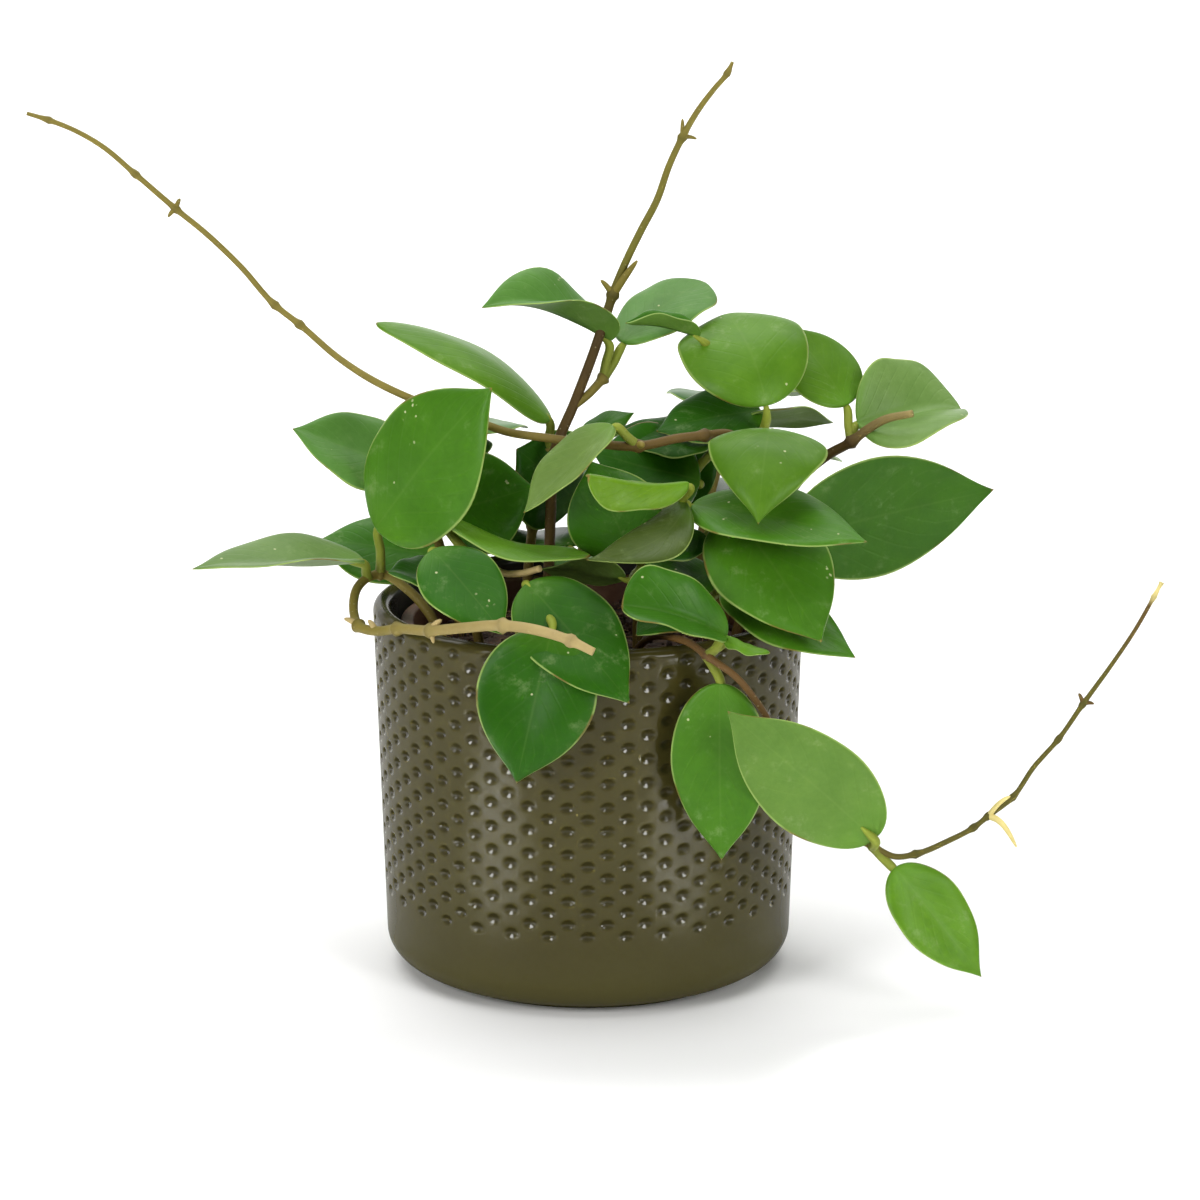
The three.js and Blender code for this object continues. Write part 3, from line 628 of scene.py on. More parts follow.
wood = {
    "swelling": 0.58,  # extra radius of a node, as a share
    "nodeLength": 1.2,
    "slimmer": 0.93,  # share of the radius in the tables
    "step": 1.1,  # mm between rings
    "sides": 14,
    "usual": [[0, "brown"], [1, "olive"]],  # tones of a stem that gives none
    "tones": palette(
        brown=(96, 76, 34), darkBrown=(76, 58, 24), redBrown=(98, 72, 36), olive=(124, 112, 48),
        oliveGreen=(108, 104, 38), tan=(148, 132, 80), paleTan=(178, 158, 106),
        darkOlive=(92, 86, 30), straw=(228, 212, 138),
    ),
}

# Tones: [share of the first bar's length, name]. Bars: rows of [x, y, z, radius, 1 at a
# node]. Leaves: [number of the bars' point that it grows from, base, tip, face, shape, tone],
# with the shape [width, fold, curl, arch, twist, sweep, belly, fullness]. Stubs: [number of
# the point, tip, radius, tone, rise of the arch].
frontStems = {
    "vine_left": {
        "root": [38, 4],
        "tones": [[0, "brown"], [0.35, "brown"], [0.5, "olive"], [1, "olive"]],
        "bars": [[
            [40, 2, 125, 1.9], [46, -4, 155, 1.9], [50, -14, 174, 1.8, 1], [45, -22, 181, 1.7],
            [37, -28, 182, 1.6, 1], [29, -32, 182, 1.6], [16, -35, 180, 1.6, 1],
            [4, -32, 180, 1.55], [-13, -27, 181, 1.5], [-26, -22, 182, 1.45], [-37, -17, 185, 1.4],
            [-54, -9, 189, 1.35], [-71, -3, 196, 1.3], [-80, 2, 201, 1.2], [-93, 8, 211, 1.15, 1],
            [-101, 10, 217, 1.1, 1], [-112, 13, 229, 1.05], [-124, 16, 240, 1.05],
            [-133, 18, 247, 1.05, 1], [-146, 20, 258, 1, 1], [-157, 22, 267, 0.95],
            [-166, 23, 272, 0.9], [-174, 24, 275, 0.9, 1], [-181, 25, 277, 0.7],
        ]],
        "leaves": [
            [6, [8, -37, 187], [-20, -46, 161], [-0.35, -0.5, 0.8], [19, 14, 10, 12], "sage"],
            [2, [58.4, -24, 182.9], [53, -58, 160], [-0.09, -0.85, 0.5],
             [38, 0, -10, 92, 0, 0, 0.28, 1.8], "light"],
        ],
        "stubs": [
            [18, [-131.5, 17, 250.5], 0.9], [18, [-135.5, 17, 244.5], 0.9],
            [6, [17.5, -39, 181], 1.5],
        ],
    },
    "stem_upright": {
        "root": [-14, -12],
        "tones": [[0, "brown"], [0.55, "darkBrown"], [0.66, "oliveGreen"], [1, "olive"]],
        "bars": [[
            [-13, -11, 125, 1.9], [-12, -9, 152, 1.9], [-11, -8, 171, 1.85], [-4, -2, 188, 1.8],
            [1.5, 2, 202, 1.75], [6, 5, 215, 1.7], [8, 6, 221, 1.6, 1], [11, 6, 229, 1.4],
            [17, 5, 242, 1.35], [22, 3, 252, 1.3], [26, 0, 264, 1.2], [30, -2, 273, 1.15, 1],
            [35, -4, 282, 1.05], [40, -6, 289, 0.95], [44, -7, 294, 0.85, 1],
            [45.5, -8, 297.5, 0.6],
        ], [
            [-5, -3, 186, 1.4], [0, 0, 189.5, 1.5], [5, 5, 194, 1.6, 1],
        ]],
        "leaves": [
            [18, [7, 6, 206], [-34, -6, 219], [0.25, -0.1, 0.95], [36, 34, 4, 52, 34], "dusty"],
            [18, [11, 9, 205], [38, 30, 221], [-0.25, -0.4, 0.9],
             [30, 4, 4, 14, 0, 0, 0.6, 3], "dusty"],
        ],
        "stubs": [
            [6, [4.2, 5, 226], 1.1], [6, [15.8, 3, 232.6], 1.4], [11, [30, -3, 279], 0.8],
            [11, [34.5, -2, 272.5], 0.8],
        ],
    },
    "stem_trailing": {
        "root": [14, -38],
        "tones": [
            [0, "redBrown"], [0.3, "redBrown"], [0.45, "brown"], [0.56, "darkOlive"],
            [0.88, "darkOlive"], [0.95, "brown"], [0.972, "brown"], [0.982, "straw"], [1, "straw"],
        ],
        "bars": [[
            [15, -41, 114, 1.4], [18, -46, 119.5, 1.3], [22, -53, 123, 1.3],
            [27, -60.5, 124.3, 1.3], [32, -67, 124.2, 1.3], [37, -72, 121.5, 1.25, 1],
            [46, -77, 116, 1.2], [53, -76, 107, 1.15], [60, -73, 94, 1.1], [68, -69, 80, 1.1],
            [76, -65, 68, 1.1], [83, -62, 60, 1.1], [90, -61, 56.5, 1.1, 1], [97, -59, 52.5, 1.05],
            [104, -55, 52, 1.05, 1], [115, -50, 55, 1], [123, -46, 58, 0.95, 1],
            [128, -43, 61, 0.95, 1], [136, -39, 66, 0.9, 1], [143, -35, 75, 0.9],
            [151, -31, 83, 0.85, 1], [159, -28, 94, 0.9, 1], [168, -25, 106, 0.8],
            [176, -21, 117, 0.75], [182, -18, 127, 0.7, 1], [184.5, -17, 131.5, 0.6, 1],
        ]],
        "leaves": [
            [5, [43, -70, 127], [10.5, -76, 138.5], [0.1, -0.6, 0.8],
             [29, 36, 4, 34, 0, 0, 0.7, 3.4], "mid"],
            [5, [42.3, -71, 127.4], [56.3, -78, 124], [0.2, -0.3, 0.9],
             [7, -35, 0, 10, 0, 0, 0.4, 2.2], "light"],
            [5, [41, -73, 113], [42, -71, 55], [-0.15, -1, 0], [31, 3, 8, 14], "fresh"],
            [12, [90, -67, 61], [43, -87, 108], [-0.1, 0.97, 0.3], [34, 2, -6, 8], "fresh"],
            [12, [97, -60, 49], [125, -64, 14], [0.2, -0.9, 0.4], [24, 4, 6, 14], "light"],
        ],
        "stubs": [
            [17, [134.5, -46, 68.5], 0.9, "straw", 1.0],
            [17, [136.6, -49, 52.5], 1.15, "straw", 2.4], [21, [157.5, -28, 97.5], 0.8, "brown"],
            [21, [162.5, -28, 94], 0.8, "brown"],
        ],
    },
    "stem_curl": {
        "root": [-44, -18],
        "tones": [[0, "brown"], [0.25, "olive"], [0.5, "olive"], [0.75, "tan"], [1, "paleTan"]],
        "bars": [[
            [-46, -18, 112, 1.7], [-51, -17, 121, 1.7], [-58, -13, 128, 1.65],
            [-67, -10, 132.5, 1.6, 1], [-71, -13, 132, 1.6], [-74, -18, 130, 1.6],
            [-75, -24, 126.5, 1.6], [-74.5, -29, 123.5, 1.6], [-73, -34, 121.5, 1.7, 1],
            [-67, -41, 121.5, 1.7], [-60, -48, 124, 1.7, 1], [-49, -60, 126.5, 1.8, 1],
            [-38, -70, 130, 1.8], [-26, -79, 133, 1.8, 1], [-14, -86, 133, 1.75],
            [-5, -90, 131, 1.6, 1], [2, -92, 128, 1.4],
        ]],
        "leaves": [
            [3, [-68, -16, 149], [-30, -36, 199], [-0.3, -0.8, 0.5], [46, 2, 6, 10], "fresh"],
            [4, [-72, -15, 138], [-126, -30, 139], [0, -0.05, 1], [34, 16, 10, 8], "pale"],
        ],
        "stubs": [
            [8, [-77.5, -33, 123.5], 1.1], [9, [-69.5, -39, 124.5], 1.1],
            [11, [-45.5, -62, 130.5], 1.2], [11, [-48, -62, 123], 1],
        ],
    },
    "stem_right": {
        "root": [49, 6],
        "tones": [[0, "brown"], [0.8, "darkBrown"], [1, "tan"]],
        "bars": [[
            [50, 6, 113, 1.9], [56, 9, 130, 1.9], [62, 10, 148, 1.9], [69, 8, 160, 1.85],
            [78, 4, 169, 1.8], [85, 0, 174, 1.7, 1], [90, -2, 178.5, 1.6], [95, -4, 182, 1.5],
            [104, -8, 185, 1.3],
        ]],
        "leaves": [
            [5, [84, 6, 185], [65, 22, 208], [0.3, -0.7, 0.6], [27, 4, 8, 10], "light"],
            [5, [87, 3, 179.5], [121.7, 14, 181.3], [-0.1, -0.6, 0.8],
             [42, 30, 0, 14, 44, 0, 0.4, 3.4], "pale"],
        ],
    },
    "stem_right_front": {
        "root": [42, -26],
        "bars": [[
            [42, -27, 120, 1.8], [42, -29, 132, 1.8, 1], [42, -29, 145, 1.7],
            [41, -29, 155, 1.6, 1], [41, -28, 159, 1.2],
        ]],
        "leaves": [
            [3, [33, -35, 161], [87, -56, 154], [-0.1, -0.3, 0.95], [34, 6, 4, 14], "fresh"],
            [3, [45, -34, 158], [73, -64, 124], [0.25, -0.7, 0.65], [42, 2, 6, 14], "fresh"],
            [3, [37, -34, 151], [20, -46, 146], [0, -0.6, 0.8], [14, 4, 4, 10], "deep"],
            [1, [43, -40, 136], [84, -57, 117], [0.1, -0.4, 0.9], [30, 4, 4, 8], "fresh"],
            [1, [40, -37, 139], [16, -46, 141], [0.1, -0.4, 0.9], [24, 4, 4, 8], "mid"],
            [1, [34, -46, 131], [15, -64, 126], [0, -0.3, 0.95], [18, 4, 4, 8], "deep"],
        ],
    },
    "stem_front": {
        "root": [-10, -38],
        "bars": [[
            [-11, -39, 118, 1.8], [-14, -42, 127, 1.8], [-17, -46, 134, 1.7, 1],
            [-17, -46, 138, 1.2],
        ]],
        "leaves": [
            [2, [-19, -53, 140], [13, -82, 109], [0.1, -0.9, 0.6], [31, 4, 8, 16], "deep"],
            [2, [-11, -69, 129], [-22, -79, 82.5], [-0.1, -1, 0.15], [38, 4, 4, 20], "deep"],
        ],
    },
    "stem_left_front": {
        "root": [-34, -30],
        "tones": [[0, "brown"], [0.6, "olive"], [1, "paleTan"]],
        "bars": [[
            [-36, -31, 122, 1.7], [-38, -31, 134, 1.7], [-38, -31, 144, 1.6, 1],
            [-33, -34, 142, 1.4], [-26, -40, 140, 1.2], [-21, -44, 141, 1.2], [-15, -50, 144, 1.2],
        ]],
        "leaves": [
            [2, [-49, -42, 148], [-26, -67, 127], [0.2, -0.85, 0.5], [26, 4, 8, 14], "deep"],
            [2, [-45.5, -29, 155.8], [0.8, -50, 148], [0.25, -0.08, 0.97],
             [21, 4, 4, -38, 0, 0, 0.7, 2.6], "light"],
        ],
    },
    "stem_left": {
        "root": [-42, 8],
        "bars": [[
            [-43, 7, 118, 1.8], [-46, 5, 130, 1.8, 1], [-50, 2, 146, 1.7], [-52, 0, 158, 1.6, 1],
            [-53, -1, 162, 1.2],
        ]],
        "leaves": [
            [3, [-56, 8, 162], [-95.5, 2, 178], [0.2, -0.6, 0.75], [32, 4, 4, 10], "dusty"],
            [1, [-48, 6, 134], [-89, 14, 138], [0, -0.6, 0.8], [30, 4, 4, 10], "mid"],
            [1, [-44, -18, 135], [-64, -26, 137], [0, -0.4, 0.9], [18, 4, 4, 8], "deep"],
            [3, [-47, -12, 153], [-17, -18, 163], [0, -0.93, 0.36], [34, 2, 4, 8], "mid"],
        ],
    },
    "stem_left_middle": {
        "root": [-20, 8],
        "bars": [[
            [-20, 7, 120, 1.8], [-18, 5, 145, 1.7, 1], [-14, 2, 168, 1.6, 1], [-13.5, 1, 172, 1.3],
        ]],
        "leaves": [
            [2, [-11.9, 1, 180.7], [-68.7, 14, 210.4], [0.45, -0.2, 0.88],
             [29, -6, -2, 54, 0, 0, 0.5, 2.6], "light"],
            [1, [-4, 6, 153], [-23, -6, 173], [0.1, -0.8, 0.5], [36, 2, 4, 8], "deep"],
            [2, [-2, 4, 174], [15, 8, 182], [-0.1, -0.6, 0.8], [12, 10, 4, 10], "mid"],
            [1, [-18, 14, 147], [-18, 55, 139], [0, 0.3, 0.95], [28, 4, 6, 24], "mid"],
        ],
    },
    "stem_middle": {
        "root": [16, -16],
        "bars": [[
            [16, -17, 118, 1.8], [18, -20, 138, 1.8, 1], [22, -26, 150, 1.7],
            [27, -33, 158, 1.6, 1], [27, -34, 161, 1.2],
        ]],
        "leaves": [
            [1, [14, -30, 143], [1, -34, 175], [-0.1, -0.9, 0.3], [31, 2, 6, 10], "mid"],
            [3, [31.7, -46, 170.6], [0.2, -56, 175], [0, -0.5, 0.85],
             [17, -35, 6, -30, 0, 0, 0.7, 3], "lime"],
            [3, [30.8, -40, 163.2], [-0.4, -60, 149.2], [0.1, -0.35, 0.93],
             [19, 2, 4, 14, 0, -9], "olive"],
            [1, [12, -36, 138], [-15, -38, 141], [0, 0.7, 0.7], [16, 4, 4, 10], "olive"],
        ],
    },
    "stem_centre": {
        "root": [24, 12],
        "bars": [[
            [25, 10, 120, 1.8], [28, 2, 148, 1.7, 1], [32, -4, 162, 1.6, 1], [32.5, -5, 166, 1.2],
        ]],
        "leaves": [
            [2, [36, -10, 163], [2, -14, 173], [0, -0.7, 0.7], [36, 2, 4, 10], "deep"],
            [2, [40, -6, 175], [8, -2, 178], [0, -0.4, 0.9], [22, 4, 4, 8], "deep"],
            [1, [20, 6, 157], [43, 8, 171], [0.2, -0.8, 0.5], [26, 4, 4, 8], "deep"],
            [1, [25, 11, 149], [12, 47, 142], [0, 0.3, 0.95], [26, 4, 6, 24], "mid"],
        ],
    },
    "stem_back_right": {
        "root": [45, 22],
        "bars": [[
            [46, 21, 115, 1.8], [54, 10, 140, 1.8, 1], [55, 2, 168, 1.7, 1], [52, 8, 185, 1.6, 1],
            [46, 12, 198, 1.5, 1], [45, 12.5, 202, 1.2],
        ]],
        "leaves": [
            [1, [64, -6, 143], [132, 6, 157], [0.1, 0.95, 0.3], [44, 2, 4, 8], "fresh", "lit"],
            [2, [57, -13, 188.5], [45, 18, 212.5], [0.1, -0.75, 0.6],
             [42, 0, -8, 64, 0, 0, 0.6, 3], "light"],
            [2, [56, 3, 183.5], [22, -7, 179], [0, -0.5, 0.85], [27, 4, 4, 10], "deep"],
            [3, [50, 4, 181], [80, 14, 177.5], [0, 0.45, 0.88], [27, 4, 4, 10], "sage"],
            [4, [36, 0, 209], [12, -6, 214], [0, 0, 1], [14, 54, 4, 10], "mid"],
        ],
    },
}

backStems = {
    "petiole": 9.0,
    "length": 50.0,
    "width": 0.64,  # share of the length
    "stems": {  # leaves: [heading, slope] in degrees
        "stem_back_left": {
            "seed": 11, "root": [-34, 32],
            "nodes": [[-38, 38, 136], [-45, 44, 152], [-50, 47, 164]],
            "leaves": [[[80, -4], [142, -14]], [[98, 2], [125, -8]], [[70, -4], [104, -16]]],
        },
        "stem_back_middle": {
            "seed": 5, "root": [-2, 42],
            "nodes": [[-2, 46, 126], [1, 50, 138], [3, 52, 146]],
            "leaves": [[[58, -6], [118, -6], [266, 2]], [[88, -6], [30, -11]], [[112, -8], [70, -8]]],
        },
        "stem_back_far_right": {
            "seed": 23, "root": [36, 36],
            "nodes": [[39, 40, 140], [44, 44, 160], [47, 46, 176]],
            "leaves": [[[20, -8], [80, -4]], [[44, -14], [108, -8]], [[66, -8], [98, -10]]],
        },
    },
}


def seededRandom(seed):
    # the same small repeatable numbers between 0 and 1 as the solids use
    state = seed
    while True:
        state = (state * 1664525 + 1013904223) % 4294967296
        yield state / 4294967296


def leafyStem(rule):
    # a back stem's full table: each leaf stands off its node on a short petiole, faces up
    # and outwards, and differs a little in heading, length, arch and twist
    random = seededRandom(rule["seed"])

    def spread(middle, reach):
        return middle + reach * (2 * next(random) - 1)

    bar = [[*rule["root"], soil["top"] + soil["mound"] + 4, 1.8]]
    bar += [[*node, 1.75 - 0.12 * i, 1] for i, node in enumerate(rule["nodes"])]
    leaves = []
    for i, (node, pair) in enumerate(zip(rule["nodes"], rule["leaves"])):
        for heading, slope in pair:
            turn, climb = math.radians(spread(heading, 5)), math.radians(spread(slope, 4))
            level = math.cos(climb)
            along = np.array([math.cos(turn) * level, math.sin(turn) * level, math.sin(climb)])
            length = spread(backStems["length"], 4)
            base = np.array(node) + along * backStems["petiole"] + [0, 0, 2]
            face = [0.3 * math.cos(turn), 0.3 * math.sin(turn), 0.95]
            shape = [length * backStems["width"], 5, 6, spread(24, 8), spread(0, 14), spread(0, 2)]
            tone = ("mid", "deep", "fresh")[(i + len(leaves)) % 3]
            leaves.append([i + 1, base, base + along * length, face, shape, tone])
    return {"root": rule["root"], "bars": [bar], "leaves": leaves}


def bladeShare(u, belly, fullness):
    # half-width of a blade at u as a share of its greatest: a quarter circle up to the
    # belly, then a curve that falls to the drawn-out tip
    near = np.sqrt(np.clip(1 - ((belly - u) / belly) ** 2, 0, 1))
    past = np.clip((u - belly) / (1 - belly), 0, 1)
    far = (1 - past**fullness) ** (leaf["fullness"] / fullness)
    drawn = leaf["drawnTip"] * min(1.0, (leaf["fullness"] / fullness) ** 3)
    far = far * (1 - drawn * np.exp(-(((1 - u) / 0.13) ** 2)))
    return np.where(u < belly, near, far)


def bladeSurface(base, tip, face, shape):
    # the same surface as the solids have: the midrib is an arc over the chord from base to
    # tip, each half leaves it at a fold and steepens by a curl, and the blade twists
    filled = [*shape, *[0, 0, leaf["belly"], leaf["fullness"]][len(shape) - 4:]]
    width, fold, curl, arch, twist, sweep, belly, fullness = filled
    start, chord = np.array(base, float), np.subtract(tip, base).astype(float)
    length = np.linalg.norm(chord)
    axis = chord / length
    up = np.array(face, float)
    up = unit(up - axis * (up @ axis))
    side = np.cross(axis, up)
    half = math.radians(arch) / 2
    radius = length / (2 * math.sin(half))

    def point(u, t, rise, lift=0.0):
        u, t = np.broadcast_arrays(u, t)
        angle = (half * (1 - 2 * u))[..., None]
        normal = up * np.cos(angle) - axis * np.sin(angle)
        turn = (math.radians(twist) * (u - 0.5))[..., None]
        across = side * np.cos(turn) + normal * np.sin(turn)
        normal = normal * np.cos(turn) - side * np.sin(turn)
        rib = (
            start + axis * (length / 2 - radius * np.sin(angle))
            + up * radius * (np.cos(angle) - math.cos(half))
            + side * (sweep * 4 * u * (1 - u))[..., None]
        )
        away = np.abs(t)
        reach = width / 2 * bladeShare(u, belly, fullness) * away
        slope = np.radians(fold + curl * away)
        mean = np.radians(fold + curl * away / 2)
        sideways = np.sign(t) * (reach * np.cos(mean) - rise * np.sin(slope) * away)
        upwards = reach * np.sin(mean) + rise * np.cos(slope * away) + lift
        return rib + across * sideways[..., None] + normal * upwards[..., None]

    return point, axis, up, lambda u: bladeShare(u, belly, fullness)


def onMidrib(point, u):  # the blade's point in the middle at u
    return point(np.array([[u]]), np.zeros((1, 1)), np.zeros((1, 1)))[0, 0]


def bladePart(row, random):
    # loops round the blade's cross-section: over the upper side and back under the lower
    # side, thin and rounded at the margins, with a shallow groove along the midrib
    _, base, tip, face, shape, *tones = row
    point, _, _, shareAt = bladeSurface(base, tip, face, shape)
    angle = np.pi * np.linspace(leaf["start"], 1, leaf["rows"] + 1)[:-1, None]
    u = (1 - np.cos(angle)) / 2
    over = np.sin(np.pi / 2 * np.linspace(-1, 1, leaf["columns"]))
    t = np.concatenate([over, over[-2:0:-1]])[None, :]
    isUnder = 1.0 * (np.arange(t.size) >= leaf["columns"])[None, :]
    away, outline = np.abs(t), shareAt(u)
    thin = np.sqrt(np.clip(outline / 0.3, 0, 1)) * (1 - 2 * isUnder)
    rise = leaf["halfThickness"] * np.sqrt(np.clip(1 - away**5, 0, 1)) * thin
    waves, phase = random.uniform(1.2, 2.4), random.uniform(0, anyAngle, 2)
    wave = np.sin(2 * np.pi * waves * u + np.where(t > 0, *phase))
    lift = leaf["wave"] * wave * away**2.5 * outline
    lift = lift - leaf["roll"] * shape[0] * away**3.5 * np.sqrt(outline)
    pace, shift = random.uniform(-2.2, 2.2, (4, 2)), random.uniform(0, anyAngle, 4)
    slow = np.sin(u[..., None] * pace[:, 0] * 3.2 + t[..., None] * pace[:, 1] * 1.6 + shift).sum(-1)
    lift = lift + leaf["swell"] * slow * np.sin(np.pi * u) * (1 - 0.4 * away)
    lift = lift - (leaf["groove"] * np.exp(-((t / 0.05) ** 2)) + leaf["edge"] * away**8) * (1 - u)
    tone = leaf["tones"][tones[0]]
    brighter = random.uniform(*leaf["brightness"])
    low = leaf["lit"] if len(tones) > 1 else 0.45 * tone + 0.55 * leaf["under"]
    colour = np.where(isUnder[..., None] > 0, low, tone) * brighter
    place = np.stack(np.broadcast_arrays(u, (t + 1) / 2), -1)
    bark = np.stack([isUnder, isUnder * 0 + random.uniform(), isUnder * 0], -1)
    return loopsToPart(
        onMidrib(point, 0.0), point(u, t, rise, lift), onMidrib(point, 1.0), 1,
        leafTone=colour, leafPlace=place, bark=bark,
    )


def woodPart(path, rings, tone):
    return loopsToPart(path[0], rings, path[-1], 0, bark=tone, leafTone=[0, 0, 0], leafPlace=[0, 0])


def petiolePart(row):
    # a round stalk that sags from the stem into the root of the blade: it flares by an
    # exponential at the stem and narrows by a power in the blade
    start, base, tip, face, shape = row[:5]
    point, axis, up, _ = bladeSurface(base, tip, face, shape)
    inBlade = onMidrib(point, 0.09) - up * 0.55
    before = np.array(base, float) - up * 1.35 - axis * 0.4
    sag = np.array(start) * 0.5 + before * 0.5 - up * 0.6
    path, _, _ = smoothPath([start, sag, before, inBlade], leaf["petioleSteps"])
    share = np.linspace(0, 1, len(path))
    narrow = 0.75 * np.clip((share - 0.68) / 0.32, 0, 1) ** 1.3
    radius = leaf["petiole"] * (1.0 + 0.22 * np.exp(-share / 0.12) - narrow)
    tone = leaf["petioleDark"] * (1 - share[:, None]) + leaf["petioleTone"] * share[:, None]
    return woodPart(path, tubeRings(path, radius, leaf["petioleSides"]), tone[:, None, :])


def barPart(points, tones):
    # a stem through its points, with a swelling at each node and a fine ring beside it,
    # both bell curves along the way
    table = np.array([point[:4] for point in points], float)
    span = np.linalg.norm(np.diff(table[:, :3], axis=0), axis=1).sum()
    path, at, way = smoothPath(table, int(span / wood["step"]) + 8)
    nodes = way[[i for i, point in enumerate(points) if len(point) > 4]]
    away = (at[:, None] - nodes[None, :]) / wood["nodeLength"]
    swell = 1 + wood["swelling"] * np.exp(-(away**2)).sum(1)
    swell = swell + 0.1 * np.exp(-(((away - 1.6) / 0.25) ** 2)).sum(1)
    rings = tubeRings(path[:, :3], path[:, 3] * swell * wood["slimmer"], wood["sides"])
    shares, names = zip(*tones)
    colours = np.array([wood["tones"][name] for name in names])
    share = at / at[-1]
    tone = np.stack([np.interp(share, shares, colours[:, k]) for k in range(3)], -1)
    darker = 1 - 0.25 * np.exp(-((away / 0.8) ** 2)).sum(1)
    return woodPart(path[:, :3], rings, (tone * darker[:, None])[:, None])


def stubPart(root, tip, radius, tone, rise=0.4):
    # a bud, old leaf stub or dried young leaf: a short bar that arches as half a sine wave
    # and narrows to a blunt end
    share = np.linspace(0, 1, 10)
    path = np.array(root) * (1 - share[:, None]) + np.array(tip) * share[:, None]
    path[:, 2] += rise * np.sin(np.pi * share)
    width = radius * np.sqrt(np.clip(1 - (share * 0.97) ** 4, 0, 1)) * (1 - 0.25 * share)
    return woodPart(path, tubeRings(path, width, 10), tone)


def barkMaterial():
    bark = Finish("stemBark", specular=0.2)
    place = bark.place()
    tone = bark.attribute("bark")
    clouds = bark.noise(place, 160.0, 4.0, 0.6)
    grain = bark.noise(place, 900.0, 3.0)
    pores = bark.spots(place, 520.0)
    darker = bark.mix(1.0, tone, (0.45, 0.42, 0.38), "MULTIPLY")
    colour = bark.mix((clouds - 0.3) * 0.8, tone, darker)
    pale = (1 - pores.ramp(0.08, 0.2)) * clouds.ramp(0.45, 0.6)
    bark.set("colour", bark.mix(pale * 0.3, colour, srgb(190, 178, 130)))
    bark.set("roughness", 0.42 + grain * 0.3)
    bark.bump(grain * 0.6 + pale, 0.45, 0.0005)
    return bark.material


def bladeMaterial():
    blade = Finish("waxyLeaf", specular=0.14)
    place = blade.place()
    tone = blade.attribute("leafTone")
    under, ownNumber, _ = blade.parts(blade.attribute("bark"))
    along, across, _ = blade.parts(blade.node("UVMap", {"uv_map": "leafPlace"}))
    away = abs(across * 2.0 - 1.0)
    clouds = blade.noise(place, 55.0, 4.0, 0.6)
    fine = blade.noise(place, 520.0, 3.0, 0.6)
    darker = blade.mix(1.0, tone, (0.62, 0.7, 0.55), "MULTIPLY")
    colour = blade.mix(clouds.ramp(0.3, 0.7) * 0.5 + (fine - 0.5) * 0.55 + 0.1, darker, tone)
    # pale patches: dust and painted sheen
    dust = blade.noise(place, 170.0, 5.0, 0.7).ramp(0.52, 0.75) * clouds.ramp(0.4, 0.65)
    colour = blade.mix(dust * 0.3, colour, leaf["dust"])
    youngBase = (1 - along.ramp(0.0, 0.25)) * 0.25
    colour = blade.mix(youngBase, colour, srgb(100, 150, 44))
    rib = 1 - away.ramp(0.0, 0.04)
    ladder = (along * 8.0 - away * 3.4 + ownNumber * 5.0).maths("FRACT")
    vein = 1 - abs(ladder - 0.5).ramp(0.0, 0.12)
    vein = vein * away.ramp(0.02, 0.2) * (1 - away.ramp(0.7, 0.95))
    colour = blade.mix(rib * 0.06 + vein * 0.015, colour, srgb(136, 160, 88))
    patch = blade.noise(place, 38.0, 2.0)
    cluster = (1 - blade.spots(place, 40.0).ramp(0.1, 0.2)) * patch.ramp(0.46, 0.52)
    ragged = blade.noise(place, 1100.0, 3.0, 0.7) * 0.5
    dots = 1 - (blade.spots(place, 420.0) + ragged).ramp(0.38, 0.5)
    single = 1 - (blade.spots(place, 115.0) + ragged * 0.12).ramp(0.06, 0.09)
    speck = (dots * cluster).maths("MAXIMUM", single) * (1 - under)
    colour = blade.mix(speck * 0.7, colour, leaf["speck"])
    mark = (1 - blade.spots(place, 75.0).ramp(0.03, 0.06)) * (1 - patch.ramp(0.38, 0.44))
    colour = blade.mix(mark * 0.6, colour, srgb(66, 60, 26))
    # the pale rim along the margins: the leaf's own edge colour and painted highlight on the rounded
    # edge, browned in places
    rim = away.ramp(0.955, 0.985)
    browned = blade.noise(place, 70.0, 2.0).ramp(0.55, 0.66)
    margin = blade.mix(browned, leaf["margin"], leaf["marginBrown"])
    colour = blade.mix(rim * 0.7, colour, margin)
    colour = blade.mix(along.ramp(0.98, 0.995) * 0.8, colour, leaf["marginBrown"])
    blade.set("colour", colour)
    blade.set("roughness", 0.38 + under * 0.14 + (clouds - 0.5) * 0.12)
    height = fine * 0.25 + clouds * 0.5 - vein * 0.2 + speck * 0.5
    blade.bump(height, 0.35, 0.0006)
    return blade.material


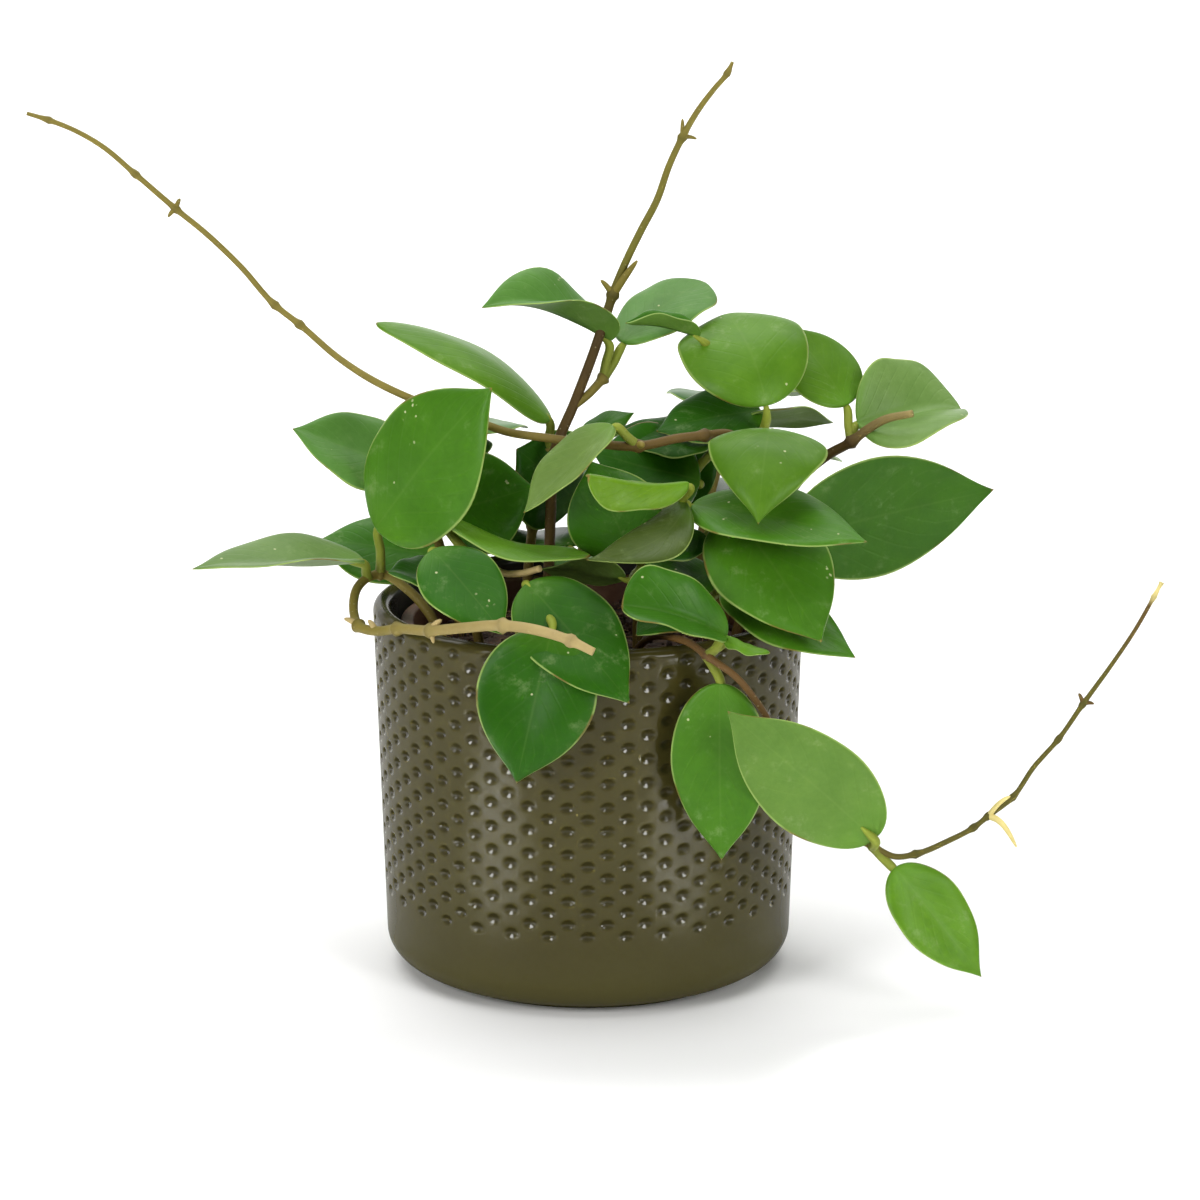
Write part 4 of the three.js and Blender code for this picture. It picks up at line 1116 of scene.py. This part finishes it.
def stemParts(stem, random):
    # the first bar goes on straight down into the soil; the others have its last tone
    tones = stem.get("tones", wood["usual"])
    last = tones[-1][1]
    first, *others = stem["bars"]
    root, thick, top = stem["root"], first[0][3], soil["top"]
    rooted = [[*root, top - 12, thick], [*root, top + soil["mound"] + 1, thick], *first]
    parts = [barPart(rooted, tones)]
    parts += [barPart(bar, [[0, last], [1, last]]) for bar in others]
    points = [point[:3] for bar in stem["bars"] for point in bar]
    for number, *row in stem["leaves"]:
        row = [points[number], *row]
        parts += [petiolePart(row), bladePart(row, random)]
    for number, tip, radius, *own in stem.get("stubs", []):
        tone = wood["tones"][own[0] if own else last]
        parts.append(stubPart(points[number], tip, radius, tone, *own[1:]))
    return parts


def buildPlant():
    random = np.random.default_rng(leaf["seed"])
    materials = [barkMaterial(), bladeMaterial()]
    backs = {name: leafyStem(rule) for name, rule in backStems["stems"].items()}
    for name, stem in {**frontStems, **backs}.items():
        words = name.split("_")
        pieceName = words[0] + "".join(word.capitalize() for word in words[1:]) + "Leafy"
        parts = stemParts(stem, random)
        addPiece(pieceName, parts, materials, [name], ["bark", "leafTone"], "leafPlace")


buildPlant()
print("stems and leaves built")

backdrop = {
    "reach": 6.0,  # metres to the front, the sides and up
    "bendStart": 1.6,
    "bendRadius": 1.2,
    "colour": (0.92, 0.92, 0.915),
    "roughness": 0.75,
}


def buildFloor():
    # a level floor that bends up into a wall behind: a line, a quarter circle and a line,
    # carried sideways
    reach, bendStart, radius = (backdrop[key] for key in ("reach", "bendStart", "bendRadius"))
    bend = np.radians(np.linspace(0, 90, 13))
    y = np.concatenate([[-reach], bendStart + radius * np.sin(bend), [bendStart + radius]])
    z = np.concatenate([[0.0], radius - radius * np.cos(bend), [reach]])
    x = np.array([-reach, reach])
    points = np.stack(np.broadcast_arrays(x[None, :], y[:, None], z[:, None]), -1).reshape(-1, 3)
    row = np.arange(len(y) - 1) * 2
    faces = np.stack([row, row + 1, row + 3, row + 2], -1)
    mesh = bpy.data.meshes.new("studioFloor")
    mesh.from_pydata(points.tolist(), [], faces.tolist())
    mesh.shade_smooth()
    paper = Finish("paperWhite", colour=backdrop["colour"], roughness=backdrop["roughness"])
    mesh.materials.append(paper.material)
    addObject("studioFloor", mesh)


buildFloor()
print("floor built")
